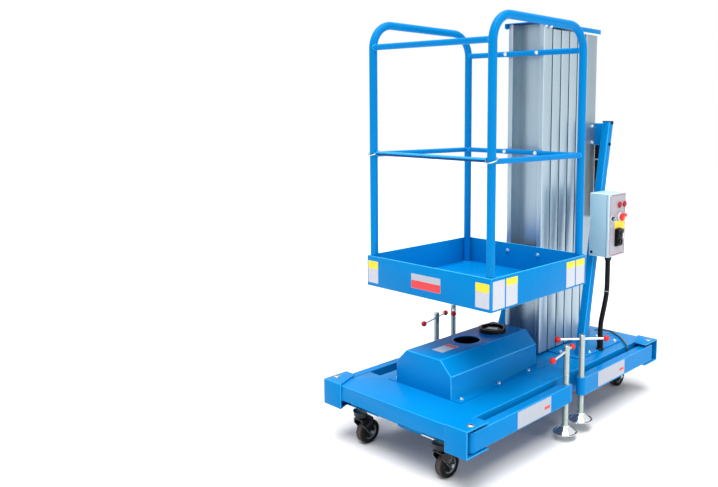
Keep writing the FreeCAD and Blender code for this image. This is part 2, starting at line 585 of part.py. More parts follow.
# Entry bar: it slides up the two front posts on a ring round each
hookLine = "(postRadius+hookGap+hookRadius)"
entryZ = "(midZ+midRadius+hookSeat+hookRadius-entryDrop)"
hookZ = "(midZ+midRadius+hookSeat+hookRadius)"
entryPieces = [rod("EntryTube", (f"-({postX}-{hookLine})", frontPostY, entryZ), "entryRadius",
                   f"2*({postX}-{hookLine})", alongX)]
for side, sideX in (("Left", -1), ("Right", 1)):
    spot = (f"{sideX}*{postX}", frontPostY)
    ring = rod("EntryRing" + side, (*spot, f"{hookZ}-hookRadius"), f"{hookLine}+hookRadius", "2*hookRadius")
    ringBore = rod("EntryRingBore" + side, (*spot, f"{hookZ}-2*hookRadius"), f"{hookLine}-hookRadius",
                   "4*hookRadius")
    entryPieces.append(cut("EntryCollar" + side, ring, ringBore))
node("entry_bar", fuse("EntryBar", *entryPieces))

# Outriggers, screw jacks with their feet and bars, and the balls on the bars
for corner, sideX, sideY, lift, barTurn, barSlide, barDrop in corners:
    tag = corner.title().replace("_", "")
    pivot = (f"{sideX}*pivotX", f"{sideY}*pivotY")
    jack = (f"{sideX}*pivotX", f"{sideY}*(pivotY-armLong)")
    # the front arms end square, the rear ones round
    squareEnd = "sleeveRadius" if sideY < 0 else "0"
    armSpan = mirrored(sideY, f"pivotY-armLong-{squareEnd}", "pivotY")
    tube = box("Arm" + tag, (f"{sideX}*pivotX-armWide/2", armSpan, "armLow"),
               ("armWide", f"armLong+{squareEnd}", "armTall"))
    ends = [rod("ArmPivotEnd" + tag, (*pivot, "armLow"), "armWide/2", "armTall"),
            rod("ArmSleeve" + tag, (*jack, "armLow"), "sleeveRadius", "armTall")]
    room = box("ArmRoom" + tag, (f"{sideX}*pivotX-armWide/2+armWall",
                                 mirrored(sideY, "pivotY-armLong+sleeveRadius", "pivotY-armWide/2"),
                                 "armLow+armWall"),
               ("armWide-2*armWall", "armLong-sleeveRadius-armWide/2", "armTall-2*armWall"))
    bores = [rod("ArmPivotBore" + tag, (*pivot, "armLow-1"), "pinDia/2+pinFit", "armTall+2"),
             rod("ArmSleeveBore" + tag, (*jack, "armLow-1"), "screwRadius+screwFit", "armTall+2")]
    node("outrigger_" + corner, cut("Outrigger" + tag, fuse("ArmBlank" + tag, tube, *ends),
                                    fuse("ArmTools" + tag, room, *bores)))
    rimZ = f"footLow+{lift}"
    screw = rod("Screw" + tag, (*jack, f"{rimZ}+footRise"), "screwRadius",
                f"screwTop+{lift}-({rimZ}+footRise)")
    rim = rod("FootRim" + tag, (*jack, rimZ), "footRadius", "footRim")
    bell = cone("FootBell" + tag, (*jack, rimZ), "footCone", "footNeck", "footRise+footBoss/2")
    boss = rod("FootBoss" + tag, (*jack, f"{rimZ}+footRise-footBoss/2"), "footNeck", "footBoss")
    belly = cone("FootBelly" + tag, (*jack, f"{rimZ}-0.01"), "footCone-footShell", "footNeck-footShell",
                 "footRise-footShell")
    turn = math.radians(barTurn)
    way = Vec(math.cos(turn), math.sin(turn), 0)
    barLevel = f"screwTop+{lift}-{barDrop}"
    bar = doc.addObject("Part::Cylinder", "Bar" + tag)
    bind(bar, Radius="barRadius", Height="barLong")
    reach = f"(barLong/2-({barSlide}))"
    place(bar, f"{jack[0]}-{way.x}*{reach}", f"{jack[1]}-{way.y}*{reach}", barLevel,
          FreeCAD.Rotation(Vec(0, 0, 1), way))
    foot = cut("Foot" + tag, fuse("FootBlank" + tag, rim, bell, boss), belly)
    node("jack_" + corner, fuse("Jack" + tag, screw, foot, bar))
    balls = []
    for end, sign in (("Near", -1), ("Far", 1)):
        far = f"({barSlide}+({sign})*barLong/2)"
        whole = ball("Ball" + end + tag, (f"{jack[0]}+{way.x}*{far}", f"{jack[1]}+{way.y}*{far}", barLevel),
                     "ballRadius")
        balls.append(whole)
    barRoom = doc.addObject("Part::Cylinder", "BarRoom" + tag)
    bind(barRoom, Radius="barRadius+ballFit", Height="barLong")
    place(barRoom, f"{jack[0]}-{way.x}*{reach}", f"{jack[1]}-{way.y}*{reach}", barLevel,
          FreeCAD.Rotation(Vec(0, 0, 1), way))
    node("jack_balls_" + corner, cut("JackBalls" + tag, fuse("BallPair" + tag, *balls), barRoom))

# Casters: a fixed plate, a fork that swivels, and a wheel; the wheel trails its swivel
axleZ = "wheelRadius"
for corner, sideX, sideY, *_ in corners:
    tag = corner.title().replace("_", "")
    turnRound = FreeCAD.Rotation(Vec(0, 0, 1), 0 if sideY < 0 else 180)
    swivel = (f"{sideX}*casterX", f"{sideY}*casterY")
    crownTop = "crownLow+crownSheet"
    forkOutline = [("-forkHalf", crownTop), ("-forkHalf", "crownLow-crownSkirt"),
                   ("trail-forkEndHalf", "wheelRadius"), ("trail-forkEndHalf/2", "wheelRadius-forkEndLow"),
                   ("trail+forkEndHalf/2", "wheelRadius-forkEndLow"), ("trail+forkEndHalf", "wheelRadius"),
                   ("trail+forkEndHalf/2", crownTop)]
    legs = padded("Fork" + tag, "YZ_Plane", forkOutline, "2*(forkHalf+forkLeg)", middle=True)
    place(legs, *swivel, "0", turnRound)
    between = padded("ForkRoom" + tag, "YZ_Plane",
                     [("-2*forkHalf", "crownLow"), ("-2*forkHalf", "0"), ("4*forkHalf", "0"),
                      ("4*forkHalf", "crownLow")], "2*forkHalf", middle=True)
    place(between, *swivel, "0", turnRound)
    race = rod("Race" + tag, (*swivel, crownTop), "raceRadius", "raceTall")
    king = rod("King" + tag, (*swivel, f"{crownTop}+raceTall"), "kingRadius", "casterGap+casterPlate")
    axleSpot = (f"{sideX}*casterX-forkHalf-forkLeg-axleNutTall", f"{sideY}*(casterY-trail)", axleZ)
    axle = rod("Axle" + tag, axleSpot, "axleRadius", "2*(forkHalf+forkLeg+axleNutTall)", alongX)
    nuts = [rod("AxleNut" + side + tag, (start, f"{sideY}*(casterY-trail)", axleZ), "axleNut",
                "axleNutTall", alongX)
            for side, start in (("In", f"{sideX}*casterX-forkHalf-forkLeg-axleNutTall"),
                                ("Out", f"{sideX}*casterX+forkHalf+forkLeg"))]
    node("caster_fork_" + corner, fuse("CasterFork" + tag, cut("ForkLegs" + tag, legs, between),
                                       race, king, axle, *nuts))
    tyre = turned("Tyre" + tag, [("-tyreWide/2", "tyreInner"), ("-tyreWide/2", "wheelRadius-tyreEdge"),
                                 ("-tyreWide/2+tyreEdge/3", "wheelRadius-tyreEdge/3"),
                                 ("-tyreWide/2+tyreEdge", "wheelRadius"),
                                 ("tyreWide/2-tyreEdge", "wheelRadius"),
                                 ("tyreWide/2-tyreEdge/3", "wheelRadius-tyreEdge/3"),
                                 ("tyreWide/2", "wheelRadius-tyreEdge"), ("tyreWide/2", "tyreInner")])
    place(tyre, f"{sideX}*casterX", f"{sideY}*(casterY-trail)", axleZ)
    node("wheel_tyre_" + corner, tyre)
    bore = "axleRadius+axleFit"
    hub = turned("Hub" + tag, [("-hubWide/2", "tyreInner"), ("-hubWide/2", "hubRim"),
                               ("-hubWide/2+hubDish", "hubBossFoot"), ("-hubWide/2", "hubBoss"),
                               ("-forkHalf+hubSideGap", "hubBossEnd"), ("-forkHalf+hubSideGap", bore),
                               ("forkHalf-hubSideGap", bore), ("forkHalf-hubSideGap", "hubBossEnd"),
                               ("hubWide/2", "hubBoss"), ("hubWide/2-hubDish", "hubBossFoot"),
                               ("hubWide/2", "hubRim"), ("hubWide/2", "tyreInner")])
    place(hub, f"{sideX}*casterX", f"{sideY}*(casterY-trail)", axleZ)
    node("wheel_hub_" + corner, hub)
    mount = box("CasterPlate" + tag, (f"{sideX}*casterX-casterPlateLong/2", f"{sideY}*casterY-beamWide/2",
                                      "crownLow+crownSheet+raceTall+casterGap"),
                ("casterPlateLong", "beamWide", "casterPlate"))
    hole = rod("CasterPlateHole" + tag, (*swivel, crownTop), "kingRadius+axleFit",
               "raceTall+casterGap+casterPlate+1")
    plates.append(cut("CasterMount" + tag, mount, hole))
node("caster_plates", group("CasterPlates", *plates))

doc.removeObject("Probe")
doc.recompute()

# Every object is sound before anything is written
for item in doc.Objects:
    if {"Invalid", "Error"} & set(item.State):
        raise RuntimeError(f"{item.Name} failed: {item.State}")
for name, item in parts.items():
    if item.Shape.isNull() or not item.Shape.isValid():
        raise RuntimeError(f"{name} has no valid shape")
os.makedirs("parts", exist_ok=True)
for name, item in parts.items():
    item.Shape.exportStep(f"parts/{name}.step")
print(len(parts), "parts written")
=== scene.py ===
import json
import math

import bmesh
import bpy
from mathutils import Matrix, Vector


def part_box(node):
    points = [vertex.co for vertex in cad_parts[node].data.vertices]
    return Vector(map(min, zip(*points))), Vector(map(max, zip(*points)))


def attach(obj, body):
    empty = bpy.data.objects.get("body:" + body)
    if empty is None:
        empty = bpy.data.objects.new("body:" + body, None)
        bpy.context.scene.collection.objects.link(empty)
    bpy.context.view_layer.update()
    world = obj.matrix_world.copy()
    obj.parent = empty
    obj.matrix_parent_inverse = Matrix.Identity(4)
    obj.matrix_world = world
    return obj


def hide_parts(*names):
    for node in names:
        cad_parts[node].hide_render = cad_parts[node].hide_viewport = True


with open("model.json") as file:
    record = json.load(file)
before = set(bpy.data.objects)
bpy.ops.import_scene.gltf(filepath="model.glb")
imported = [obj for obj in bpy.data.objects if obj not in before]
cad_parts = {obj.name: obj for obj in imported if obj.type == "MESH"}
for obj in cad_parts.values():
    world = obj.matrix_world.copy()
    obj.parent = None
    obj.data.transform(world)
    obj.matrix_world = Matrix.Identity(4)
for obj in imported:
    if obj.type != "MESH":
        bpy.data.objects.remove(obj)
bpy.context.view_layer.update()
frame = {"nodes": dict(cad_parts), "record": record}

nodes = frame["nodes"]
bodyOf = {node: body for body, group in frame["record"]["behaviour"]["bodies"].items() for node in group}
corners = ("front_left", "front_right", "rear_right", "rear_left")
mm = 0.001
xWay, yWay, zWay = Vector((1, 0, 0)), Vector((0, 1, 0)), Vector((0, 0, 1))


# colours and nodes

def toLinear(part):
    return part / 12.92 if part <= 0.04045 else ((part + 0.055) / 1.055) ** 2.4


def hexColour(text):
    return tuple(toLinear(int(text[k:k + 2], 16) / 255) for k in (1, 3, 5)) + (1.0,)


def addNode(tree, kind, inputs=None, **settings):
    node = tree.nodes.new(kind)
    for name, value in settings.items():
        setattr(node, name, value)
    for key, value in (inputs or {}).items():
        if isinstance(value, bpy.types.NodeSocket):
            tree.links.new(value, node.inputs[key])
        else:
            node.inputs[key].default_value = value
    return node


def startMaterial(name, **shader):
    # an empty material with its shader, and the object coordinates that its patterns read
    material = bpy.data.materials.new(name)
    material.use_nodes = True
    tree = material.node_tree
    tree.nodes.clear()
    place = addNode(tree, "ShaderNodeTexCoord").outputs["Object"]
    values = {key.replace("_", " "): value for key, value in shader.items()}
    surface = addNode(tree, "ShaderNodeBsdfPrincipled", values)
    addNode(tree, "ShaderNodeOutputMaterial", {"Surface": surface.outputs[0]})
    return material, tree, surface, place


def speckle(tree, place, sizeMm, detail):
    # cloudy noise whose patches have a real size
    noise = addNode(tree, "ShaderNodeTexNoise", {"Vector": place, "Scale": 1 / (sizeMm * mm), "Detail": detail})
    return noise.outputs["Fac"]


def colourMix(tree, factor, first, second):
    # each colour is a hex value or another node's output
    mix = addNode(tree, "ShaderNodeMix", {"Factor": factor}, data_type="RGBA")
    for socket in mix.inputs:
        if socket.type == "RGBA":
            colour = first if socket.name == "A" else second
            if isinstance(colour, str):
                socket.default_value = hexColour(colour)
            else:
                tree.links.new(colour, socket)
    return [socket for socket in mix.outputs if socket.type == "RGBA"][0]


def mottle(tree, place, surface, colours, sizeMm, detail=3.0):
    # slow drift between two shades of one finish
    noise = speckle(tree, place, sizeMm, detail)
    tree.links.new(colourMix(tree, noise, *colours), surface.inputs["Base Color"])
    return noise


def relief(tree, height, surface, depthMm, strength=1.0):
    bump = addNode(tree, "ShaderNodeBump", {"Height": height, "Distance": depthMm * mm, "Strength": strength})
    tree.links.new(bump.outputs["Normal"], surface.inputs["Normal"])


def spreadRoughness(tree, factor, surface, low, high):
    ramp = addNode(tree, "ShaderNodeMapRange", {"Value": factor, "From Min": 0.3, "From Max": 0.7,
                                                "To Min": low, "To Max": high})
    tree.links.new(ramp.outputs[0], surface.inputs["Roughness"])


powderValues = {"shades": ("#007CC2", "#0286CE"), "patch": 240, "peel": 3.2, "peelDepth": 0.05}


def bluePowderCoat():
    # polyester powder coat, baked on steel sheet: azure, half gloss, with a fine orange peel
    # peel is really about 1.5 mm from crest to crest, drawn coarser so that it shows
    v = powderValues
    material, tree, surface, place = startMaterial("bluePowderCoat", IOR=1.5, Specular_IOR_Level=0.05)
    spreadRoughness(tree, mottle(tree, place, surface, v["shades"], v["patch"]), surface, 0.24, 0.36)
    relief(tree, speckle(tree, place, v["peel"], 1.0), surface, v["peelDepth"], 0.35)
    return material


def paintedLightBlueCoat(name, shades, patchMm, roughness, shine):
    # the same coat in lighter and darker copies: painted highlights on folds and rims, painted shade on undersides
    material, tree, surface, place = startMaterial(name, Roughness=roughness, IOR=1.5, Specular_IOR_Level=shine)
    mottle(tree, place, surface, shades, patchMm)
    return material


def anodisedAluminium(name, shades):
    # extruded and satin anodised: silver grey, with faint die lines drawn along the length
    material, tree, surface, place = startMaterial(name, Metallic=0.75)
    mottle(tree, place, surface, shades, 300, 2.0)
    stretch = addNode(tree, "ShaderNodeMapping", {"Vector": place, "Scale": (420.0, 420.0, 2.2)})
    lines = addNode(tree, "ShaderNodeTexNoise", {"Vector": stretch.outputs[0], "Scale": 1.0, "Detail": 4.0})
    spreadRoughness(tree, lines.outputs["Fac"], surface, 0.27, 0.42)
    relief(tree, lines.outputs["Fac"], surface, 0.05, 0.5)
    return material


def zincPlate(name, shades, roughness=(0.16, 0.34)):
    # bright zinc plated steel: cool silver with a soft cloudy bloom
    material, tree, surface, place = startMaterial(name, Metallic=0.9)
    noise = mottle(tree, place, surface, shades, 14, 4.0)
    spreadRoughness(tree, noise, surface, *roughness)
    relief(tree, noise, surface, 0.08, 0.25)
    return material


def redPhenolic():
    # compression moulded phenolic, polished: bright red, darkened to a deep red towards its rim as a painted shade
    material, tree, surface, place = startMaterial("redPhenolic", IOR=1.5, Specular_IOR_Level=0.35)
    noise = mottle(tree, place, surface, ("#E01218", "#EE1A20"), 9)
    facing = addNode(tree, "ShaderNodeLayerWeight", {"Blend": 0.42}).outputs["Facing"]
    bright = surface.inputs["Base Color"].links[0].from_socket
    tree.links.new(colourMix(tree, facing, bright, "#7A0008"), surface.inputs["Base Color"])
    spreadRoughness(tree, noise, surface, 0.1, 0.16)
    return material


def grained(name, shades, patchMm, detail, grainMm, grainDetail, roughness, depthMm, strength, **shader):
    # two shades, with a fine grain that varies the gloss and the relief
    material, tree, surface, place = startMaterial(name, **shader)
    mottle(tree, place, surface, shades, patchMm, detail)
    grain = speckle(tree, place, grainMm, grainDetail)
    spreadRoughness(tree, grain, surface, *roughness)
    relief(tree, grain, surface, depthMm, strength)
    return material


def mouldedPlastic(name, shades, roughness=(0.3, 0.42), grainMm=0.9, depthMm=0.03, shine=0.5):
    # injection moulded plastic with a spark eroded grain; grain is drawn coarser than the real 0.2 mm
    return grained(name, shades, 30, 3.0, grainMm, 2.0, roughness, depthMm, 0.5, IOR=1.48, Specular_IOR_Level=shine)


def tyreRubber(name, shades, roughness, speckMm=2.2):
    # moulded solid rubber: near black on the shoulders; the dull grey brown tread band is a painted highlight
    return grained(name, shades, 7, 5.0, speckMm, 5.0, roughness, 0.12, 0.6, IOR=1.5, Specular_IOR_Level=0.2)


def greyTexturedPaint():
    # light grey structure paint on the control box, tinted blue as a painted reflection of the blue machine: dull,
    # with a fine even orange peel
    return grained("greyTexturedPaint", ("#A6CDDD", "#B0D5E3"), 90, 3.0, 1.6, 2.0, (0.42, 0.56), 0.09, 0.45, IOR=1.5)


def blackGlossPaint():
    # stoved black enamel on the pressed forks: near black, shiny, with a few dull spots
    material, tree, surface, place = startMaterial("blackGlossPaint", IOR=1.5, Specular_IOR_Level=0.3)
    spreadRoughness(tree, mottle(tree, place, surface, ("#040508", "#0C0E14"), 25), surface, 0.18, 0.4)
    return material


def vinyl(name, *shades, roughness=0.38):
    # printed vinyl film with a satin overlaminate, slightly uneven where it is stuck down
    material, tree, surface, place = startMaterial(name, Roughness=roughness, IOR=1.46)
    relief(tree, mottle(tree, place, surface, shades, 16), surface, 0.12, 0.3)
    return material


blue = bluePowderCoat()
blueHighlight = paintedLightBlueCoat("bluePaintHighlight", ("#0A98E4", "#22AAF0"), 60, 0.22, 0.3)    # folds: a pale cyan line, a painted highlight
blueShade = paintedLightBlueCoat("bluePaintShade", ("#003F78", "#004A8A"), 90, 0.5, 0.1)   # undersides: dull dark navy, a painted shade
blueRimHighlight = paintedLightBlueCoat("bluePaintRimHighlight", ("#2FBBEE", "#4CCBF6"), 60, 0.2, 0.3)       # the tray's rim: bright cyan, a painted highlight
# silver grey with a blue tint, a painted reflection of the blue machine around it
aluminium = anodisedAluminium("anodisedAluminium", ("#A0B4C0", "#B0C2CC"))
# painted highlight on the mast's broken edges
aluminiumHighlight = anodisedAluminium("anodisedAluminiumHighlight", ("#DCE2E6", "#EDF1F4"))
# painted shade in the gaps between the mast sections
aluminiumShade = mouldedPlastic("aluminiumShade", ("#20262C", "#2A3138"), (0.4, 0.6), 4.0, 0.02, 0.3)
zinc = zincPlate("zincPlate", ("#B4C2C6", "#CAD5D8"))
zincRod = zincPlate("zincRod", ("#9BAAA5", "#B3C0BB"), (0.26, 0.42))
brightZinc = zincPlate("brightZinc", ("#E4ECEC", "#F2F7F7"))
# painted highlight on the black forks' broken edges
brightEdge = zincPlate("brightEdge", ("#7C868A", "#99A3A6"), (0.25, 0.4))
chrome = zincPlate("brightChrome", ("#D5DADA", "#E6EAEA"), (0.06, 0.12))
redKnob = redPhenolic()
blackPlastic = mouldedPlastic("blackPolyamide", ("#050608", "#0C0D10"), shine=0.25)
blackRubber = mouldedPlastic("blackConduit", ("#030408", "#0A0A10"), (0.38, 0.55), 1.6, 0.05, 0.2)
leadTeal = mouldedPlastic("tealCableJacket", ("#0D3A40", "#155058"), (0.32, 0.45), 1.2, 0.03)
greyNylon = mouldedPlastic("greyNylon", ("#17181A", "#232527"), (0.4, 0.55), shine=0.3)
darkNylon = mouldedPlastic("darkNylon", ("#111214", "#1C1E20"), (0.4, 0.6), shine=0.3)
hubRing = mouldedPlastic("hubRing", ("#7C8488", "#949B9F"), (0.3, 0.45))
blackPaint = blackGlossPaint()
tyreBlack = tyreRubber("tyreShoulder", ("#070707", "#0E0D0D"), (0.55, 0.72))
tyreTreadHighlight = tyreRubber("tyreTread", ("#40383A", "#544A48"), (0.8, 0.95), 1.5)
boxGrey = greyTexturedPaint()
# near white painted highlight on the control box's broken edges
boxHighlight = vinyl("boxPaintHighlight", "#F0F7FA", "#F8FCFD", roughness=0.4)
panelFilm = vinyl("panelFilm", "#A09FA8", "#A9A8B0", roughness=0.34)
frameLine = vinyl("panelFrameLine", "#A0143C", "#AA1E46", roughness=0.4)
paleVinyl = vinyl("paleVinyl", "#A8AEB9", "#B2B8C2")
whiteVinyl = vinyl("whiteVinyl", "#BEC2CD", "#C8CCD5")
greyVinyl = vinyl("greyVinyl", "#ACB3C0", "#B6BDC8")
yellowVinyl = vinyl("yellowVinyl", "#F2D40E", "#FAE02A")
redVinyl = vinyl("redVinyl", "#DD2A34", "#EA3B44")
lampRed = mouldedPlastic("lampLens", ("#8C0018", "#A00420"), (0.1, 0.18), 2.4, 0.02, 0.35)
lampRim = mouldedPlastic("lampRim", ("#D89AA8", "#E2AAB6"))
stopOrange = mouldedPlastic("stopButton", ("#D81C06", "#E8260A"), (0.14, 0.22), 2.4, 0.02, 0.35)
whitePlastic = mouldedPlastic("whiteBezel", ("#DADCE0", "#E8EAED"))
tealPlastic = mouldedPlastic("darkTealSwitch", ("#16343C", "#1E434C"))
insertGrey = mouldedPlastic("gaugeWindow", ("#8E8A90", "#A29DA2"), (0.12, 0.25), 3.0, 0.02)
# dark door seam, and painted shade in the floors of the bolts' recesses
seamAndRecessShade = mouldedPlastic("darkSeamAndShade", ("#08090A", "#101113"), (0.7, 0.9), 4.0, 0.05)
castSteel = mouldedPlastic("paintedCastSteel", ("#2B2E31", "#3A3E42"), (0.45, 0.65), 2.0, 0.2)
print("materials made:", len(bpy.data.materials))


# mesh helpers: places and sizes are in millimetres, and become metres as points are added

def addRow(shape, places):
    return [shape.verts.new(place * mm) for place in places]


def addFace(shape, row, stuff=0):
    shape.faces.new(row).material_index = stuff


def bridge(shape, rows, stuff=0, closed=False):
    # faces between neighbouring loops of points; a row of one point is a tip
    for one, two in zip(rows, rows[1:] + (rows[:1] if closed else [])):
        sides = max(len(one), len(two))
        for k in range(sides):
            n = (k + 1) % sides
            loop = [one[k % len(one)], one[n % len(one)], two[n % len(two)], two[k % len(two)]]
            loop = [vert for i, vert in enumerate(loop) if vert not in loop[:i]]
            if len(loop) > 2:
                addFace(shape, loop, stuff)


def closeEnds(shape, rows, stuff=0):
    for row in (rows[0][::-1], rows[-1]):
        if len(row) > 1:
            addFace(shape, row, stuff)


def circle(radius, count, start=0.0):
    # the points of a circle or a polygon, from the start angle in degrees
    turns = [2 * math.pi * k / count + math.radians(start) for k in range(count)]
    return [(radius * math.cos(a), radius * math.sin(a)) for a in turns]


def arc(first, last, steps):
    # sine and cosine of even steps between two angles in degrees
    angles = [math.radians(first + (last - first) * k / steps) for k in range(steps + 1)]
    return [(math.sin(a), math.cos(a)) for a in angles]


def frameAlong(axis):
    # a turn that carries +Z to the axis
    return axis.normalized().to_track_quat("Z", "Y").to_matrix()


def turnedRows(shape, centre, axis, profile, sides):
    # one loop for each (how far along the axis, radius), or a tip where the radius is nought
    turn = frameAlong(axis)
    return [addRow(shape, [centre + turn @ Vector((a, b, along))
                           for a, b in (circle(radius, sides) if radius > 0 else [(0, 0)])])
            for along, radius in profile]


def addLathe(shape, centre, axis, profile, sides=48, stuff=0):
    rows = turnedRows(shape, centre, axis, profile, sides)
    bridge(shape, rows, stuff)
    closeEnds(shape, rows, stuff)


def addRing(shape, centre, axis, profile, sides=48, stuff=0):
    # a closed ring: the profile's last point joins its first
    bridge(shape, turnedRows(shape, centre, axis, profile, sides), stuff, True)


def addTube(shape, points, radius, sides=16, stuff=0, closed=False):
    # the radius is one number, or a list with one for each point
    points = [Vector(point) for point in points]
    count = len(points)
    radii = radius if isinstance(radius, list) else [radius] * count
    side, rows = None, []
    for k, (point, near) in enumerate(zip(points, radii)):
        before = points[k - 1] if (k or closed) else point
        after = points[(k + 1) % count] if (k < count - 1 or closed) else point
        way = (after - before).normalized()
        if side is None:
            side = way.orthogonal().normalized()
        side = (side - way * side.dot(way)).normalized()
        other = way.cross(side)
        rows.append(addRow(shape, [point + side * a + other * b for a, b in circle(near, sides)]))
    bridge(shape, rows, stuff, closed)
    if not closed:
        closeEnds(shape, rows, stuff)


def raisedRows(shape, base, across, up, levels):
    # outlines in the plane of across and up, each at its height along their normal
    normal = across.cross(up).normalized()
    return [addRow(shape, [base + across * a + up * b + normal * height for a, b in outline])
            for outline, height in levels]


def addPrism(shape, outline, base, across, up, height, stuff=0):
    rows = raisedRows(shape, base, across, up, ((outline, 0), (outline, height)))
    bridge(shape, rows, stuff)
    closeEnds(shape, rows, stuff)


def addBand(shape, outer, inner, base, across, up, low, high, stuff=0):
    # the room between two outlines of as many points
    levels = ((outer, low), (outer, high), (inner, high), (inner, low))
    bridge(shape, raisedRows(shape, base, across, up, levels), stuff, True)


def roundedOutline(wide, tall, radius, steps=5):
    points = []
    across, up = wide / 2 - radius, tall / 2 - radius
    for sideX, sideY, start in ((1, 1, 0), (-1, 1, 90), (-1, -1, 180), (1, -1, 270)):
        points += [(sideX * across + radius * cosine, sideY * up + radius * sine)
                   for sine, cosine in arc(start, start + 90, steps)]
    return points


def bar(long, wide):
    # a plain rectangle's outline
    return [(-long / 2, -wide / 2), (long / 2, -wide / 2), (long / 2, wide / 2), (-long / 2, wide / 2)]


def makePiece(name, mesh, body, materials, stands=(), smooth=35):
    if isinstance(mesh, bmesh.types.BMesh):
        shape, mesh = mesh, bpy.data.meshes.new(name)
        bmesh.ops.recalc_face_normals(shape, faces=shape.faces)
        shape.to_mesh(mesh)
        shape.free()
        mesh.shade_smooth()
        mesh.set_sharp_from_angle(angle=math.radians(smooth))
    else:
        mesh.materials.clear()
    for material in materials:
        mesh.materials.append(material)
    piece = bpy.data.objects.new(name, mesh)
    bpy.context.scene.collection.objects.link(piece)
    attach(piece, body)
    if stands:
        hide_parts(*stands)
    return piece


def finishNode(node, material):
    # a frame form that only needs a finish
    nodes[node].data.materials.clear()
    nodes[node].data.materials.append(material)


def joinFlat(shape):
    bmesh.ops.dissolve_limit(shape, angle_limit=math.radians(1.0), verts=shape.verts, edges=shape.edges)


def rawCopy(node, flat=True):
    # a merged copy of a node's triangles, with flat faces joined
    shape = bmesh.new()
    shape.from_mesh(nodes[node].data)
    bmesh.ops.remove_doubles(shape, verts=shape.verts, dist=0.02 * mm)
    if flat:
        joinFlat(shape)
        for face in shape.faces:
            face.material_index = 0
    return shape


def roomBeside(edge):
    # how far the two faces reach inward from the edge's middle, in metres
    least = math.inf
    middle = (edge.verts[0].co + edge.verts[1].co) / 2
    for loop in edge.link_loops:
        along = (loop.link_loop_next.vert.co - loop.vert.co).normalized()
        inward = loop.face.normal.cross(along)
        for other in loop.face.edges:
            one, two = (vert.co - middle for vert in other.verts)
            sideOne, sideTwo = one.dot(along), two.dot(along)
            if other is edge or sideOne * sideTwo > 0 or abs(sideOne - sideTwo) < 1e-9:
                continue
            reach = one.lerp(two, sideOne / (sideOne - sideTwo)).dot(inward)
            if reach > 1e-7:
                least = min(least, reach)
    return least


def bevelEdges(shape, edges, width, segments, stuff):
    bmesh.ops.bevel(shape, geom=edges, offset=width * mm, offset_type="OFFSET", segments=segments, profile=0.5,
                    affect="EDGES", clamp_overlap=False, material=stuff)


def softenEdges(shape, width, shortest=12, segments=2, keep=None, stuff=1):
    # rounds the outward folds that have the room, and gives the new faces their own material, in most pieces a
    # painted highlight along the fold
    shape.normal_update()
    bevelEdges(shape, [edge for edge in shape.edges
                       if len(edge.link_faces) == 2 and edge.calc_length() >= shortest * mm
                       and edge.calc_face_angle_signed(0) > math.radians(35) and (keep is None or keep(edge))
                       and roomBeside(edge) > 2.2 * width * mm], width, segments, stuff)


# camera at the photograph's place, found from edges whose directions are known
cameraValues = {
    "place": (2.057, -2.627, 1.386),  # metres
    "azimuth": 40.19,                 # degrees, 0 looks along +Y
    "down": 6.2,                      # degrees below the horizon
    "roll": 0.492,                    # degrees
    "focal": 743.8,                   # in pixels of the photograph's 718 x 487
    "centre": (479.4, 191.6),         # where the optical axis meets the photograph
    "frame": (718, 487),
    "sensor": 36.0,                   # millimetres
}


def buildCamera():
    v = cameraValues
    az, el, roll = (math.radians(v[k]) for k in ("azimuth", "down", "roll"))
    forward = Vector((-math.sin(az) * math.cos(el), math.cos(az) * math.cos(el), -math.sin(el)))
    level = Vector((math.cos(az), math.sin(az), 0))
    upright = level.cross(forward)
    right = level * math.cos(roll) + upright * math.sin(roll)
    up = upright * math.cos(roll) - level * math.sin(roll)
    data = bpy.data.cameras.new("camera")
    data.sensor_width = v["sensor"]
    data.lens = v["focal"] / v["frame"][0] * v["sensor"]
    data.shift_x = (v["frame"][0] / 2 - v["centre"][0]) / v["frame"][0]
    data.shift_y = (v["centre"][1] - v["frame"][1] / 2) / v["frame"][0]
    data.clip_start, data.clip_end = 0.05, 60
    camera = bpy.data.objects.new("camera", data)
    bpy.context.scene.collection.objects.link(camera)
    turn = Matrix((right, up, -forward)).transposed().to_4x4()
    camera.matrix_world = Matrix.Translation(v["place"]) @ turn
    bpy.context.scene.camera = camera


buildCamera()
print("camera placed")


# places read from the frame

def nodeBox(node):
    low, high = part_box(node)
    return Vector(low) / mm, Vector(high) / mm


def partBoxes(node):
    # the box of each separate solid in a node, in order of place
    shape = rawCopy(node, False)
    seen, boxes = set(), []
    for first in shape.verts:
        if first in seen:
            continue
        seen.add(first)
        waiting, low, high = [first], first.co.copy(), first.co.copy()
        while waiting:
            vert = waiting.pop()
            low = Vector(map(min, low, vert.co))
            high = Vector(map(max, high, vert.co))
            for edge in vert.link_edges:
                other = edge.other_vert(vert)
                if other not in seen:
                    seen.add(other)
                    waiting.append(other)
        boxes.append((low / mm, high / mm))
    shape.free()
    return sorted(boxes, key=lambda pair: tuple(round(n, 1) for n in pair[0]))


def flatMiddle(low, high):
    # the middle of a box, at floor level
    middle = (low + high) / 2
    middle.z = 0
    return middle


# small fasteners, spread by geometry nodes

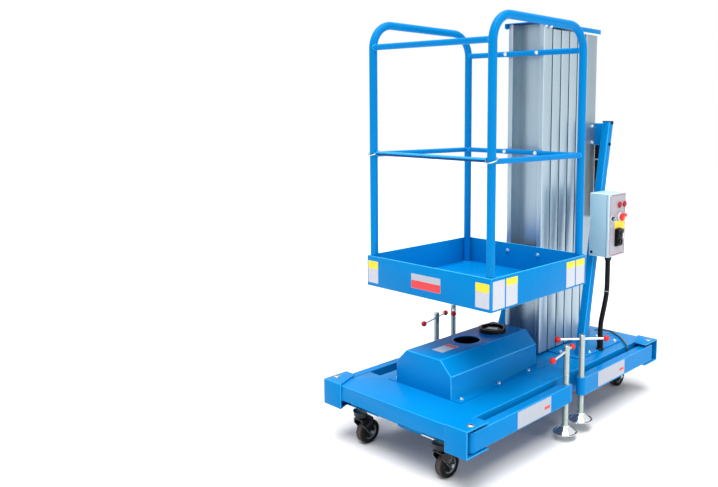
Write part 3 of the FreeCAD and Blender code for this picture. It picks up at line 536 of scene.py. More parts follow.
def hexScrewTree():
    # washer, six sided head and a turned chamfer on each point, along the point's own way
    tree = bpy.data.node_groups.new("hexScrews", "GeometryNodeTree")
    for label, kind in (("Geometry", "Geometry"), ("Head Radius", "Float"), ("Head Height", "Float"),
                        ("Washer Radius", "Float"), ("Washer Height", "Float"), ("Material", "Material")):
        tree.interface.new_socket(label, in_out="INPUT", socket_type="NodeSocket" + kind)
    tree.interface.new_socket("Geometry", in_out="OUTPUT", socket_type="NodeSocketGeometry")
    enter = addNode(tree, "NodeGroupInput").outputs

    def combine(first, second, operation="MULTIPLY"):
        return addNode(tree, "ShaderNodeMath", {0: first, 1: second}, operation=operation).outputs[0]

    head, tall, washer, thick = (enter[label] for label in ("Head Radius", "Head Height", "Washer Radius",
                                                            "Washer Height"))
    body, top = combine(tall, 0.84), combine(tall, 0.16)
    rings = (
        # sides, lower radius, upper radius, height, level of its foot
        (28, washer, combine(washer, 0.97), thick, 0.0),
        (6, head, head, body, thick),
        (24, combine(head, 0.9), combine(head, 0.74), top, combine(body, thick, "ADD")),
    )
    join = addNode(tree, "GeometryNodeJoinGeometry")
    for sides, low, high, deep, foot in rings:
        ring = addNode(tree, "GeometryNodeMeshCone", {"Vertices": sides, "Radius Bottom": low, "Radius Top": high,
                                                      "Depth": deep})
        up = addNode(tree, "ShaderNodeCombineXYZ", {"Z": foot})
        lifted = addNode(tree, "GeometryNodeTransform", {"Geometry": ring.outputs["Mesh"],
                                                         "Translation": up.outputs[0]})
        tree.links.new(lifted.outputs[0], join.inputs[0])
    way = addNode(tree, "GeometryNodeInputNamedAttribute", {"Name": "way"}, data_type="FLOAT_VECTOR")
    turn = addNode(tree, "FunctionNodeAlignRotationToVector", {"Vector": way.outputs["Attribute"]}, axis="Z")
    spread = addNode(tree, "GeometryNodeInstanceOnPoints", {"Points": enter["Geometry"],
                                                            "Instance": join.outputs[0],
                                                            "Rotation": turn.outputs[0]})
    real = addNode(tree, "GeometryNodeRealizeInstances", {0: spread.outputs[0]})
    done = addNode(tree, "GeometryNodeSetMaterial", {"Geometry": real.outputs[0], "Material": enter["Material"]})
    addNode(tree, "NodeGroupOutput", {0: done.outputs[0]})
    return tree


screwTree = hexScrewTree()
screwSizes = {
    # head radius, head height, washer radius, washer height
    "M4": (3.9, 2.4, 4.4, 0.7), "M8": (7.4, 5.3, 8.6, 1.6),
}


def addScrews(name, body, kind, spots, material):
    # spots: place and the way that the head faces
    points = bpy.data.meshes.new(name + "Points")
    points.from_pydata([Vector(place) * mm for place, way in spots], [], [])
    facing = points.attributes.new("way", "FLOAT_VECTOR", "POINT")
    for k, (place, way) in enumerate(spots):
        facing.data[k].vector = way
    holder = bpy.data.objects.new(name + "Points", points)
    bpy.context.scene.collection.objects.link(holder)
    scatter = holder.modifiers.new("screws", "NODES")
    scatter.node_group = screwTree
    values = dict(zip(("Head Radius", "Head Height", "Washer Radius", "Washer Height"),
                      (size * mm for size in screwSizes[kind])), Material=material)
    for item in screwTree.interface.items_tree:
        if item.in_out == "INPUT" and item.name in values:
            scatter[item.identifier] = values[item.name]
    depsgraph = bpy.context.evaluated_depsgraph_get()
    mesh = bpy.data.meshes.new_from_object(holder.evaluated_get(depsgraph), depsgraph=depsgraph)
    bpy.data.objects.remove(holder)
    makePiece(name, mesh, body, [material])


# sheet metal of the base, the mast's foot and the platform: the frame's forms with soft folds
sheetValues = {
    # node: width of the soft fold, shortest edge that gets one
    "deck": (1.6, 12), "corner_brackets": (1.8, 8), "caster_beams": (1.6, 12), "belly_pan": (2.4, 8),
    "power_cover": (3.0, 20), "mast_foot": (1.4, 8), "mast_braces": (3.4, 20), "brace_plates": (1.4, 8),
    "mast_cap": (1.3, 8), "platform_tray": (1.5, 20), "rail_spacers": (1.2, 8),
    **{"outrigger_" + corner: (2.6, 30) for corner in sorted(corners)},
}
trimValues = {"footTall": 6, "beamRise": 20.7, "beamSheet": 5, "trayRim": 2}


def cutAbove(shape, height):
    # takes away what stands above a level, and closes the cut
    bmesh.ops.bisect_plane(shape, geom=shape.verts[:] + shape.edges[:] + shape.faces[:], dist=0.01 * mm,
                           plane_co=(0, 0, height * mm), plane_no=(0, 0, 1), clear_outer=True)
    bmesh.ops.holes_fill(shape, edges=[edge for edge in shape.edges if len(edge.link_faces) < 2], sides=0)
    joinFlat(shape)


def sheetMetal(node, width, shortest):
    v = trimValues
    low, high = nodeBox(node)
    shape = rawCopy(node)
    if node == "mast_foot":
        # in the photo the mast stands bare on its plate, so the cheeks beside it are left out
        cutAbove(shape, nodeBox("deck")[1].z + v["footTall"])
    if node == "caster_beams":
        # nor does a beam show below the deck's wall: its underside is drawn higher
        for vert in shape.verts:
            if vert.co.z < (low.z + v["beamSheet"]) * mm:
                vert.co.z += v["beamRise"] * mm
    # soft folds in the painted highlight blue
    softenEdges(shape, width, shortest)
    shape.normal_update()
    for face in shape.faces:
        # painted shade: undersides are drawn dark navy, the cap's above the mast, and the base's above the floor
        if face.normal.z < -0.7 and face.material_index == 0:
            face.material_index = 2
        # painted highlight: the tray's rim, where it faces up, is drawn bright cyan
        if node == "platform_tray" and face.normal.z > 0.3:
            if face.calc_center_median().z > (high.z - v["trayRim"]) * mm:
                face.material_index = 3
    makePiece(node + "_sheet", shape, bodyOf[node], [blue, blueHighlight, blueShade, blueRimHighlight], [node])


for node, (width, shortest) in sheetValues.items():
    sheetMetal(node, width, shortest)
print("sheet metal made")


# mast sections: the frame's extrusions with their long edges broken in a painted highlight, those at the front of the
# gaps in a painted shade, and two ribs in the last one's channel
mastValues = {"edge": 1.0, "shadeBevel": 2.2, "shortest": 200, "frontBand": 1, "webDepth": 57.3,
              "ribX": 60, "ribWide": 7, "ribTall": 3.5, "ribEnd": 3}


def mastSection(number):
    v = mastValues
    node = f"mast_section_{number}"
    low, high = nodeBox(node)
    middleY = (low.y + high.y) / 2
    shape = rawCopy(node)
    if number < 6:
        # the front corners stand in the gap behind the next section, where no light comes, and are drawn dark:
        # painted shade
        softenEdges(shape, v["shadeBevel"], v["shortest"], stuff=2,
                    keep=lambda edge: edge.verts[0].co.y < (low.y + v["frontBand"]) * mm)
        softenEdges(shape, v["edge"], v["shortest"], keep=lambda edge: edge.verts[0].co.y > middleY * mm)
    else:
        softenEdges(shape, v["edge"], v["shortest"])
        wide, tall = v["ribWide"] / 2, v["ribTall"]
        for side in (-1, 1):
            addPrism(shape, [(-wide, 0), (wide, 0), (wide / 2, tall), (-wide / 2, tall)],
                     Vector((side * v["ribX"], low.y + v["webDepth"], high.z - v["ribEnd"])), xWay, -yWay,
                     high.z - low.z - 2 * v["ribEnd"])
    makePiece(node + "_extrusion", shape, bodyOf[node], [aluminium, aluminiumHighlight, aluminiumShade],
              [node])


for number in range(1, 7):
    mastSection(number)
print("mast sections made")


# hoops and rails: smooth tubes as in the frame, with the welds where they meet
weldValues = {"bead": 2.3, "ripple": 0.18, "waves": 34, "sides": 8, "steps": 72, "postSeat": 12.8, "postGap": 0.6}


def weldBead(shape, points):
    # a rippled bead along a closed line, in the piece's second material: the painted highlight blue
    v = weldValues
    radii = [v["bead"] * (1 + v["ripple"] * math.sin(v["waves"] * 2 * math.pi * k / len(points)))
             for k in range(len(points))]
    addTube(shape, points, radii, v["sides"], 1, True)


def saddleWeld(shape, centre, along, across, railRadius, postRadius):
    # on the line where a rail meets a post: along is the rail's way out of the post
    weldBead(shape, [centre + along * math.sqrt(max(postRadius ** 2 - out ** 2, 0)) + across * out + zWay * up
                     for out, up in circle(railRadius, weldValues["steps"])])


def ringWeld(shape, centre, axis, radius):
    turn = frameAlong(axis)
    weldBead(shape, [centre + turn @ Vector((a, b, 0)) for a, b in circle(radius, weldValues["steps"])])


def frameRails():
    v = weldValues
    low, high = nodeBox("guard_hoop_right")
    post = (high.x - low.x) / 2
    postX, frontY, backY = low.x + post, low.y + post, high.y - post
    foot = nodeBox("platform_tray")[0].z + v["postSeat"]
    shape = bmesh.new()
    for low, high in partBoxes("guard_rails"):
        centre = (low + high) / 2
        radius = (high.z - low.z) / 2
        for end in (-1, 1):
            if high.x - low.x > high.y - low.y:
                spot, along, across = Vector((end * postX, centre.y, centre.z)), xWay, yWay
            else:
                spot, along, across = Vector((centre.x, frontY if end < 0 else backY, centre.z)), yWay, xWay
            saddleWeld(shape, spot, along * -end, across, radius, post)
    for x in (-postX, postX):
        for y in (frontY, backY):
            ringWeld(shape, Vector((x, y, foot)), zWay, post + v["postGap"])
    makePiece("rail_welds", shape, "platform", [blue, blueHighlight])
    for node in ("guard_hoop_left", "guard_hoop_right", "guard_rails"):
        finishNode(node, blue)


frameRails()
print("rails welded")


# power unit cover: rolled rim round its hole, collar and gauge
coverValues = {"top": 401, "holeY": -270, "holeRadius": 58, "rim": 2.2, "collarOut": 61, "collarIn": 49, "grips": 36,
               "windowWide": 54, "windowTall": 34, "windowTurn": 24, "windowThick": 3, "frameWide": 3}


def coverFittings():
    v = coverValues
    rim = v["rim"]
    shape = bmesh.new()
    profile = [(rim * sine * 0.7, v["holeRadius"] + rim * 0.9 - rim * cosine) for sine, cosine in arc(-30, 210, 10)]
    addRing(shape, Vector((0, v["holeY"], v["top"])), zWay, profile, 72)
    # the rolled rim is drawn in the painted highlight blue
    makePiece("cover_hole_rim", shape, "chassis", [blueHighlight])

    low, high = nodeBox("filler_collar")
    centre = Vector((0, (low.y + high.y) / 2, v["top"]))
    tall = high.z - low.z
    out, inside = v["collarOut"], v["collarIn"]
    shape = bmesh.new()
    addRing(shape, centre, zWay, [(0, inside), (tall - 2, inside), (tall, inside + 2), (tall, out - 2.5),
                                  (tall - 2, out - 0.5), (tall * 0.55, out - 0.5), (tall * 0.5, out - 3),
                                  (tall * 0.3, out - 3), (tall * 0.28, out), (0, out)], 72)
    for a, b in circle(1, v["grips"]):
        # grip ridges round the collar's upper part
        way, side = Vector((a, b, 0)), Vector((-b, a, 0))
        addPrism(shape, [(-1.6, 0), (1.6, 0), (0.8, 0.9), (-0.8, 0.9)],
                 centre + way * (out - 0.9) + zWay * tall * 0.94, side, way, -tall * 0.36)
    makePiece("filler_collar_turned", shape, "chassis", [blackPlastic], ["filler_collar"])

    low, high = nodeBox("gauge_insert")
    radius = (high.x - low.x) / 2
    deep = high.z - low.z - v["windowThick"]
    shape = bmesh.new()
    addLathe(shape, centre, zWay, [(0, radius), (deep - 1.5, radius), (deep, radius - 1.5), (deep, 0)], 64)
    turn = math.radians(v["windowTurn"])
    across, up = (Vector((a, b, 0)) for a, b in ((math.cos(turn), math.sin(turn)), (-math.sin(turn), math.cos(turn))))
    for inset, radius, share, stuff in ((0, 4, 0.6, 0), (2 * v["frameWide"], 2.5, 1, 1)):
        addPrism(shape, roundedOutline(v["windowWide"] - inset, v["windowTall"] - inset, radius),
                 centre + zWay * deep, across, up, v["windowThick"] * share, stuff)
    makePiece("gauge_window", shape, "chassis", [blackPlastic, insertGrey], ["gauge_insert"])


coverFittings()
print("cover fitted")


# control box: cabinet with its door seam, and the panel's film with a thin frame line
boxValues = {"edge": 3.0, "seamBack": 12, "seamWide": 1.4, "seamEnd": 3, "seamThick": 0.25,
             "film": 0.5, "filmInset": 3, "frameInset": 7, "frameLine": 2.4, "frameRadius": 5}


def controlBox():
    v = boxValues
    low, high = nodeBox("control_box")
    size, middle = high - low, (low + high) / 2
    seam = high.x - v["seamBack"]
    shape = rawCopy("control_box")
    # broken edges in the near white painted highlight; the dark strips are the door seam
    softenEdges(shape, v["edge"], 20, 3)
    for spot, across, up, long in ((Vector((seam, low.y, middle.z)), zWay, -xWay, size.z),
                                   (Vector((seam, high.y, middle.z)), zWay, xWay, size.z),
                                   (Vector((seam, middle.y, high.z)), yWay, -xWay, size.y)):
        addPrism(shape, bar(long - 2 * v["seamEnd"], v["seamWide"]), spot, across, up, v["seamThick"], 2)
    makePiece("control_cabinet", shape, "chassis", [boxGrey, boxHighlight, seamAndRecessShade], ["control_box"])

    low, high = nodeBox("control_panel")
    size, centre = high - low, (low + high) / 2
    centre.x = low.x
    film = v["film"]
    face = centre + xWay * (size.x - film)
    shape = bmesh.new()
    addPrism(shape, roundedOutline(size.y, size.z, 5), centre, yWay, zWay, size.x - film, 0)
    inset = 2 * v["filmInset"]
    addPrism(shape, roundedOutline(size.y - inset, size.z - inset, 4), face, yWay, zWay, film * 0.7, 1)
    outer, inner = (roundedOutline(size.y - 2 * inset, size.z - 2 * inset, radius)
                    for inset, radius in ((v["frameInset"], v["frameRadius"]),
                                          (v["frameInset"] + v["frameLine"], v["frameRadius"] - v["frameLine"])))
    addBand(shape, outer, inner, face, yWay, zWay, 0, film, 2)
    makePiece("panel_film", shape, "chassis", [boxGrey, panelFilm, frameLine], ["control_panel"])
    return centre, high.x


panelCentre, panelFront = controlBox()
buttonValues = {"collarTall": 7, "neck": 9, "cap": 19.5, "dome": 6.5, "lamp": 16.5, "lampTall": 11, "lampDrop": 4,
                "rearLampShift": 12, "push": 11, "keyShift": -18, "keyTurn": 35, "lug": 4.8}


def stopButton(shape, spot, out):
    # mushroom stop button: pale collar, neck and a wide domed cap
    v = buttonValues
    tall, radius, dome = v["collarTall"], v["cap"], v["dome"]
    addLathe(shape, spot, xWay, [(0, radius + 1.5), (2, radius + 1.5), (3.5, radius - 1), (tall, radius - 2.5),
                                 (tall, 0)], 48, 1)
    profile = [(tall, v["neck"]), (out - 12, v["neck"]), (out - 11, radius - 1.5), (out - 9, radius)]
    profile += [(out - dome + dome * sine, radius * cosine) for sine, cosine in arc(0, 90, 8)[:-1]]
    addLathe(shape, spot, xWay, profile + [(out, 0)], 48, 0)


def signalLamp(shape, spot):
    # a thin pink rim and a round lens with a flat crown
    v = buttonValues
    spot.z -= v["lampDrop"]
    if spot.y > panelCentre.y + 20:
        spot.y += v["rearLampShift"]
    radius, out = v["lamp"], v["lampTall"]
    addRing(shape, spot, xWay, [(0, radius), (2.2, radius), (2.6, radius - 0.6), (2.6, radius - 1.4),
                                (0, radius - 1.4)], 40, 3)
    radius -= 1.5
    profile = [(0, radius)] + [(out * (0.45 + 0.55 * sine), radius * (1 - 0.55 * (1 - cosine)))
                               for sine, cosine in arc(0, 90, 7)]
    addLathe(shape, spot, xWay, profile + [(out, 0)], 40, 2)


def pushButton(shape, spot, out):
    # pale ring with a red cap, slightly hollow on top
    radius = buttonValues["push"]
    addRing(shape, spot, xWay, [(0, radius + 1.5), (4, radius + 1), (4, radius - 1.5), (0, radius - 1.5)], 40, 1)
    addLathe(shape, spot, xWay, [(0, radius - 1.7), (out - 1.5, radius - 1.7), (out, radius - 3), (out - 0.8, 0)], 40)


def panelButtons():
    shape = bmesh.new()
    for low, high in partBoxes("panel_buttons"):
        spot = (low + high) / 2
        spot.x = panelFront
        across = high.y - low.y
        if across > 28:
            stopButton(shape, spot, high.x - panelFront)
        elif across > 20:
            signalLamp(shape, spot)
        else:
            pushButton(shape, spot, high.x - panelFront)
    makePiece("buttons_and_lamps", shape, "chassis", [stopOrange, whitePlastic, lampRed, lampRim],
              ["panel_buttons"], 40)


def panelSwitches():
    v = buttonValues
    key, block = sorted(partBoxes("panel_switches"), key=lambda pair: pair[1].z - pair[0].z)
    shape = bmesh.new()
    radius = (key[1].y - key[0].y) / 2
    spot = (key[0] + key[1]) / 2 + yWay * v["keyShift"]
    spot.x = panelFront
    out = key[1].x - panelFront
    addRing(shape, spot, xWay, [(0, radius + 2), (3, radius + 1.5), (3, radius - 2), (0, radius - 2)], 40, 1)
    addLathe(shape, spot, xWay, [(0, radius - 2.2), (out - 3, radius - 2.2), (out - 2, radius - 3.2), (out - 2, 0)],
             40, 2)
    # the key's lug stands across the switch
    turn = Matrix.Rotation(math.radians(v["keyTurn"]), 3, "X")
    addPrism(shape, roundedOutline(2 * radius - 5, v["lug"], 2), spot + xWay * (out - 3), turn @ yWay, turn @ zWay,
             3, 3)
    # socket: a black housing in two parts, a round socket with its flap, and a small blank label
    low, high = block
    centre = (low + high) / 2
    centre.x = panelFront
    wide, tall, deep = high.y - low.y, high.z - low.z, high.x - panelFront
    upper, lower = centre + zWay * tall * 0.24, centre - zWay * tall * 0.24
    addPrism(shape, roundedOutline(wide, tall, 5), centre, yWay, zWay, deep * 0.35)
    for spot, share in ((upper, 0.8), (lower, 0.62)):
        addPrism(shape, roundedOutline(wide - 5, tall * 0.44, 4), spot, yWay, zWay, deep * share)
    addLathe(shape, lower + xWay * deep * 0.6, xWay, [(0, 15), (deep * 0.25, 14), (deep * 0.25, 11),
                                                      (deep * 0.12, 10.5), (deep * 0.12, 0)], 36)
    addLathe(shape, upper + xWay * deep * 0.78, xWay, [(0, 13), (deep * 0.14, 12), (deep * 0.22, 9),
                                                       (deep * 0.22, 0)], 36)
    addPrism(shape, roundedOutline(9, 26, 1), upper + Vector((deep * 0.99, 10, -12)), yWay, zWay, 0.8, 1)
    makePiece("switch_and_socket", shape, "chassis", [blackPlastic, whitePlastic, tealPlastic, zinc],
              ["panel_switches"], 40)


panelButtons()
panelSwitches()
print("control box made")


# gland, corrugated conduit with a tie, sleeve, thin lead and the cable trunk
cordValues = {"radius": 12.5, "ribPitch": 4.6, "ribDeep": 0.9, "sides": 20, "tieLevel": 539, "tieWide": 2.6,
              "tieThick": 1.2, "leadRadius": 4, "trunkLow": 860, "trunkTie": 1150, "trunkTieWide": 7}
conduitPlan = [(284, 420, 692), (284, 420, 612), (286, 415, 530), (277, 404, 448), (267, 397, 380), (267, 397, 300)]
leadPlan = [(108, 612, 268), (108, 652, 264), (150, 698, 254.3), (251, 628, 254.3), (320, 552, 254.3),
            (345, 524, 254), (345, 524, 178), (329, 524, 178)]


def bentRoute(plan, step=1.0):
    # straight runs joined by arcs as large as the runs allow, cut into even steps
    points = [Vector(point) for point in plan]
    line = [points[0]]
    for first, corner, last in zip(points, points[1:], points[2:]):
        before, after = corner - first, last - corner
        turn = before.angle(after)
        reach = 0.45 * min(before.length, after.length)
        radius = reach / math.tan(turn / 2)
        inward = (after.normalized() - before.normalized()).normalized()
        centre = corner + inward * math.hypot(radius, reach)
        arm = corner - before.normalized() * reach - centre
        steps = max(3, int(radius * turn / step) + 1)
        line += [centre + Matrix.Rotation(turn * j / steps, 3, before.cross(after).normalized()) @ arm
                 for j in range(steps + 1)]
    line.append(points[-1])
    far = [0.0]
    for a, b in zip(line, line[1:]):
        far.append(far[-1] + (b - a).length)
    count = int(round(far[-1] / step))
    even, k = [], 0
    for j in range(count + 1):
        goal = far[-1] * j / count
        while k < len(far) - 2 and far[k + 1] < goal:
            k += 1
        share = 0 if far[k + 1] == far[k] else (goal - far[k]) / (far[k + 1] - far[k])
        even.append(line[k].lerp(line[k + 1], share))
    return even, far[-1]


def conduitGland():
    # flared, under the box: a lock nut with six flats, a dome and a flared lip
    low, high = nodeBox("conduit_gland")
    centre, wide = flatMiddle(low, high), (high.x - low.x) / 2
    shape = bmesh.new()
    addLathe(shape, centre, zWay, [(low.z + up, radius) for up, radius in (
        (-6, 13.2), (-6, 14.2), (-3, 15.2), (0, 15.5), (5, 16.8), (9, 17.4), (9, 0))], 40)
    addPrism(shape, circle(wide, 6), centre + zWay * (low.z + 9), xWay, yWay, 7.5)
    addLathe(shape, centre, zWay, [(high.z - 6, wide), (high.z - 1, wide), (high.z, wide - 0.6), (high.z, 0)], 40)
    makePiece("conduit_gland_nut", shape, "chassis", [blackPlastic], ["conduit_gland"], 30)


def conduitSleeve():
    # lipped rubber sleeve on the deck
    low, high = nodeBox("conduit_sleeve")
    centre, wide = flatMiddle(low, high), (high.x - low.x) / 2
    shape = bmesh.new()
    addRing(shape, centre, zWay, [(low.z, wide), (low.z, wide - 2.5), (high.z + 3, wide - 2.5), (high.z + 3, wide),
                                  (high.z - 1, wide + 1.4), (high.z - 5, wide + 1.4), (high.z - 7, wide),
                                  (low.z + 7, wide), (low.z + 4, wide + 4), (low.z, wide + 5)], 40)
    makePiece("conduit_sleeve_lipped", shape, "chassis", [blackRubber], ["conduit_sleeve"], 30)


def controlConduit():
    v = cordValues
    line, length = bentRoute(conduitPlan)
    radius = v["radius"]
    waves = length / v["ribPitch"] / (len(line) - 1)
    radii = [radius - v["ribDeep"] * (0.5 - 0.5 * math.cos(2 * math.pi * waves * k)) for k in range(len(line))]
    shape = bmesh.new()
    addTube(shape, line, radii, v["sides"])
    conduit = makePiece("control_conduit_ribbed", shape, "chassis", [blackRubber],
                        ["control_conduit"], 60)
    k = min(range(len(line)), key=lambda n: abs(line[n].z - v["tieLevel"]))
    half, inner, outer = v["tieWide"] / 2, radius - 0.2, radius + v["tieThick"]
    shape = bmesh.new()
    addRing(shape, line[k], line[k + 1] - line[k - 1], [(-half, inner), (-half, outer), (half, outer), (half, inner)],
            36)
    addPrism(shape, roundedOutline(5, 7, 1), line[k] + xWay * (radius + 0.5), yWay, zWay, 3.6)
    ties = makePiece("conduit_ties", shape, "chassis", [greyVinyl])


def thinLead():
    radius = cordValues["leadRadius"]
    line, length = bentRoute(leadPlan)
    curve = bpy.data.curves.new("thin_lead_cord", "CURVE")
    curve.dimensions = "3D"
    curve.bevel_depth = radius * mm
    curve.bevel_resolution = 3
    curve.use_fill_caps = True
    spline = curve.splines.new("NURBS")
    spots = [line[4 * k] for k in range(len(line) // 4)] + [line[-1]]
    spline.points.add(len(spots) - 1)
    for point, spot in zip(spline.points, spots):
        point.co = (*(spot * mm), 1)
    spline.order_u = 3
    spline.use_endpoint_u = True
    curve.materials.append(leadTeal)
    lead = bpy.data.objects.new("thin_lead_cord", curve)
    bpy.context.scene.collection.objects.link(lead)
    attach(lead, "chassis")
    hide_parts("thin_lead")
    # grommet where it goes through the deck's wall
    shape = bmesh.new()
    addRing(shape, line[-1], xWay, [(0, 4.2), (0, 8.5), (1.2, 8.5), (3, 6.4), (3.4, 4.2)], 28)
    makePiece("lead_grommet", shape, "chassis", [blackRubber])


def cableTrunk():
    # the photo shows it only above the control box, so its hidden lower end is drawn behind the box
    v = cordValues
    low, high = nodeBox("cable_trunk")
    low.z = v["trunkLow"]
    shape = rawCopy("cable_trunk")
    for vert in shape.verts:
        vert.co.z = max(vert.co.z, low.z * mm)
    softenEdges(shape, 2.0, 15)
    # snap-on lid: a shallow step down its middle
    size, centre = high - low, (low + high) / 2
    addPrism(shape, roundedOutline(size.x - 8, size.z - 6, 2), Vector((centre.x, high.y, centre.z)), -xWay, zWay, 0.9)
    makePiece("cable_trunk_lidded", shape, "chassis", [blackPlastic, blackPlastic], ["cable_trunk"])
    shape = bmesh.new()
    half = v["trunkTieWide"] / 2
    addBand(shape, roundedOutline(size.x + 2.4, size.y + 2.4, 3), roundedOutline(size.x - 1, size.y - 1, 2),
            Vector((centre.x, centre.y, v["trunkTie"])), xWay, yWay, -half, half)
    makePiece("trunk_ties", shape, "chassis", [greyVinyl])


conduitGland()
controlConduit()
conduitSleeve()
thinLead()
cableTrunk()
print("cords and trunk made")


# screw jacks: threaded rods, conical feet with flat facets, handle bars and red balls
jackValues = {"x": 377, "y": 60, "radius": 13.5, "pitch": 5.0, "threadDeep": 1.0, "stepsPerTurn": 12, "sides": 24,
              "plainTop": 46, "chamfer": 2.0, "rise": 24, "facets": 10, "perFacet": 6, "barRadius": 5, "ball": 13.5}
footRows = (
    # level over the rim, radius, how flat its facets are; the first two are the hollow underside
    (20, 14, 0), (0, 49, 0), (0, 52, 0), (3, 52, 0), (3, 46.5, 1), (14, 33, 1), (24, 20.5, 1), (28, 17, 0),
    (32, 16.4, 0),
)


def jackSpot(corner):
    x = jackValues["x"] * (1 if "right" in corner else -1)
    return Vector((x, jackValues["y"] * (1 if "rear" in corner else -1), 0))


def jackScrew(shape, centre, rim, top):
    # the thread is drawn as a helix of flats: real pitch, crests slightly rounded
    v = jackValues
    radius, sides, steps = v["radius"], v["sides"], v["stepsPerTurn"]
    base, plain = rim + v["rise"], top - v["plainTop"]
    turns = int((plain - base - 6) / v["pitch"])
    start, count = plain - turns * v["pitch"], turns * steps

    def plainRow(level, near):
        return addRow(shape, [centre + Vector((a, b, level)) for a, b in circle(near, sides)])

    rows = [plainRow(base - 2, radius)]
    for row in range(count + 1):
        places = []
        for k, (a, b) in enumerate(circle(1, sides)):
            wave = abs(2 * ((row / steps - k / sides) % 1.0) - 1)
            fade = min(1, row / steps, (count - row) / steps)
            near = radius - v["threadDeep"] * min(1, max(0, (wave - 0.14) / 0.72)) * fade
            places.append(centre + Vector((near * a, near * b, start + (plain - start) * row / count)))
        rows.append(addRow(shape, places))
    rows += [plainRow(top - v["chamfer"], radius), plainRow(top, radius - v["chamfer"])]
    bridge(shape, rows)
    closeEnds(shape, rows)


def jackFoot(shape, centre, rim):
    # a spun cone with pressed flats, a thin rim and a boss
    facets, per = jackValues["facets"], jackValues["perFacet"]
    rows = []
    for level, radius, flat in footRows:
        places = []
        for k, (a, b) in enumerate(circle(radius, facets * per)):
            inner = math.cos(math.pi / facets) / math.cos(2 * math.pi / facets * ((k % per) / per - 0.5))
            share = 1 - flat + flat * inner
            places.append(centre + Vector((a * share, b * share, rim + level)))
        rows.append(addRow(shape, places))
    bridge(shape, rows, 1)
    closeEnds(shape, rows, 1)


def jackBalls(corner, one, two):
    # moulded balls with a flat collar on the bar's side
    ball = jackValues["ball"]
    profile = [(-ball * 0.93, jackValues["barRadius"] + 0.3)]
    profile += [(ball * sine, ball * cosine) for sine, cosine in arc(-68, 90, 20)[1:-1]]
    shape = bmesh.new()
    for end, other in ((one, two), (two, one)):
        addLathe(shape, end, end - other, profile + [(ball, 0)], 32)
    makePiece(f"jack_balls_{corner}_moulded", shape, "jack_" + corner, [redKnob],
              ["jack_balls_" + corner], 30)


def screwJack(corner):
    low, high = nodeBox("jack_" + corner)
    centre = jackSpot(corner)
    one, two = ((near + far) / 2 for near, far in partBoxes("jack_balls_" + corner))
    jackBalls(corner, one, two)
    shape = bmesh.new()
    jackScrew(shape, centre, low.z, high.z)
    jackFoot(shape, centre, low.z)
    addTube(shape, [one, (one + two) / 2, two], jackValues["barRadius"], 20, 2)
    makePiece(f"jack_{corner}_threaded", shape, "jack_" + corner, [zincRod, chrome, chrome],
              ["jack_" + corner], 25)


for corner in corners:
    screwJack(corner)
print("jacks made")


# casters: pressed forks, axle nuts, ribbed hubs and tyres whose tread band is a painted highlight
casterValues = {"edge": 1.0, "axle": 50, "nutReach": 8.6, "raceLow": 113.9, "tyreHalf": 21, "bead": 36,
                "treadFlat": 5.5, "ribs": 8, "ribThick": 2.8}
tyreShoulder = (
    # across from the outer face, down from the tread's radius; the bead's radius is given apart
    (0, 9), (1.2, 5.5), (3.2, 2.6), (6, 0.9), (10, 0.15),
)
hubHalf = (
    # across from the middle, radius
    (22.5, 5.2), (22.5, 11), (19, 12), (15, 13), (8.5, 18), (9.5, 28.5), (15, 30.2), (16.5, 31.5), (16.5, 35.2),
    (15, 36),
)


def casterFork(corner):
    # the frame's fork, race and nuts in one mesh: bright zinc on the nuts, black elsewhere, with a painted highlight
    # on the fork's broken edges
    v = casterValues
    fork = "caster_fork_" + corner
    shape = rawCopy(fork)
    for face in shape.faces:
        if all(abs(vert.co.z - v["axle"] * mm) < v["nutReach"] * mm for vert in face.verts):
            face.material_index = 2
    edges = [edge for edge in shape.edges if len(edge.link_faces) == 2 and edge.calc_length() > 8 * mm
             and edge.calc_face_angle_signed(0) > math.radians(35)
             and max(vert.co.z for vert in edge.verts) < v["raceLow"] * mm
             and all(face.material_index == 0 for face in edge.link_faces)]
    bevelEdges(shape, edges, v["edge"], 1, 1)
    makePiece(fork + "_pressed", shape, bodyOf[fork], [blackPaint, brightEdge, zinc], [fork], 30)


def casterWheel(corner):
    v = casterValues
    tyre, hub = "wheel_tyre_" + corner, "wheel_hub_" + corner
    low, high = nodeBox(tyre)
    centre, radius = (low + high) / 2, (high.z - low.z) / 2
    half = v["tyreHalf"]
    side = [(half, v["bead"])] + [(half - across, radius - down) for across, down in tyreShoulder]
    profile = [(-x, r) for x, r in side] + [(-v["treadFlat"], radius), (v["treadFlat"], radius)] + side[::-1]
    shape = bmesh.new()
    rows = turnedRows(shape, centre, xWay, profile, 80)
    first = len(side) - 1
    for k, row in enumerate(rows):
        # the tread band takes the grey brown copy, a painted highlight
        bridge(shape, [row, rows[(k + 1) % len(rows)]], 1 if first <= k < first + 3 else 0)
    makePiece(tyre + "_moulded", shape, bodyOf[tyre], [tyreBlack, tyreTreadHighlight], [tyre], 25)

    shape = bmesh.new()
    addRing(shape, centre, xWay, [(-x, r) for x, r in reversed(hubHalf)] + list(hubHalf), 64)
    for face in shape.faces:
        middle = face.calc_center_median() / mm - centre
        out = math.hypot(middle.y, middle.z)
        if out < 14 or abs(middle.x) > 16.6:
            face.material_index = 1
        elif 28.6 < out < 31:
            face.material_index = 2
    for a, b in circle(1, v["ribs"]):
        # ribs that carry the rim on both sides of the web
        for facing in (-1, 1):
            across, up = Vector((0, a, b)), xWay * facing
            addPrism(shape, [(14, 9), (30.6, 9), (30.6, 13.6), (14, 13.2)],
                     centre - across.cross(up) * v["ribThick"] / 2, across, up, v["ribThick"])
    makePiece(hub + "_moulded", shape, bodyOf[hub], [greyNylon, darkNylon, hubRing], [hub], 30)


for corner in corners:
    casterFork(corner)
    casterWheel(corner)


# bright plates under the beams, each with the black neck that its caster turns in
mountValues = {"near": 126, "far": 345, "front": 676, "back": 608, "thick": 5, "corner": 4,
               "neck": ((0, 0), (0, 34), (1.5, 36), (14, 37), (20.7, 39), (20.7, 0))}


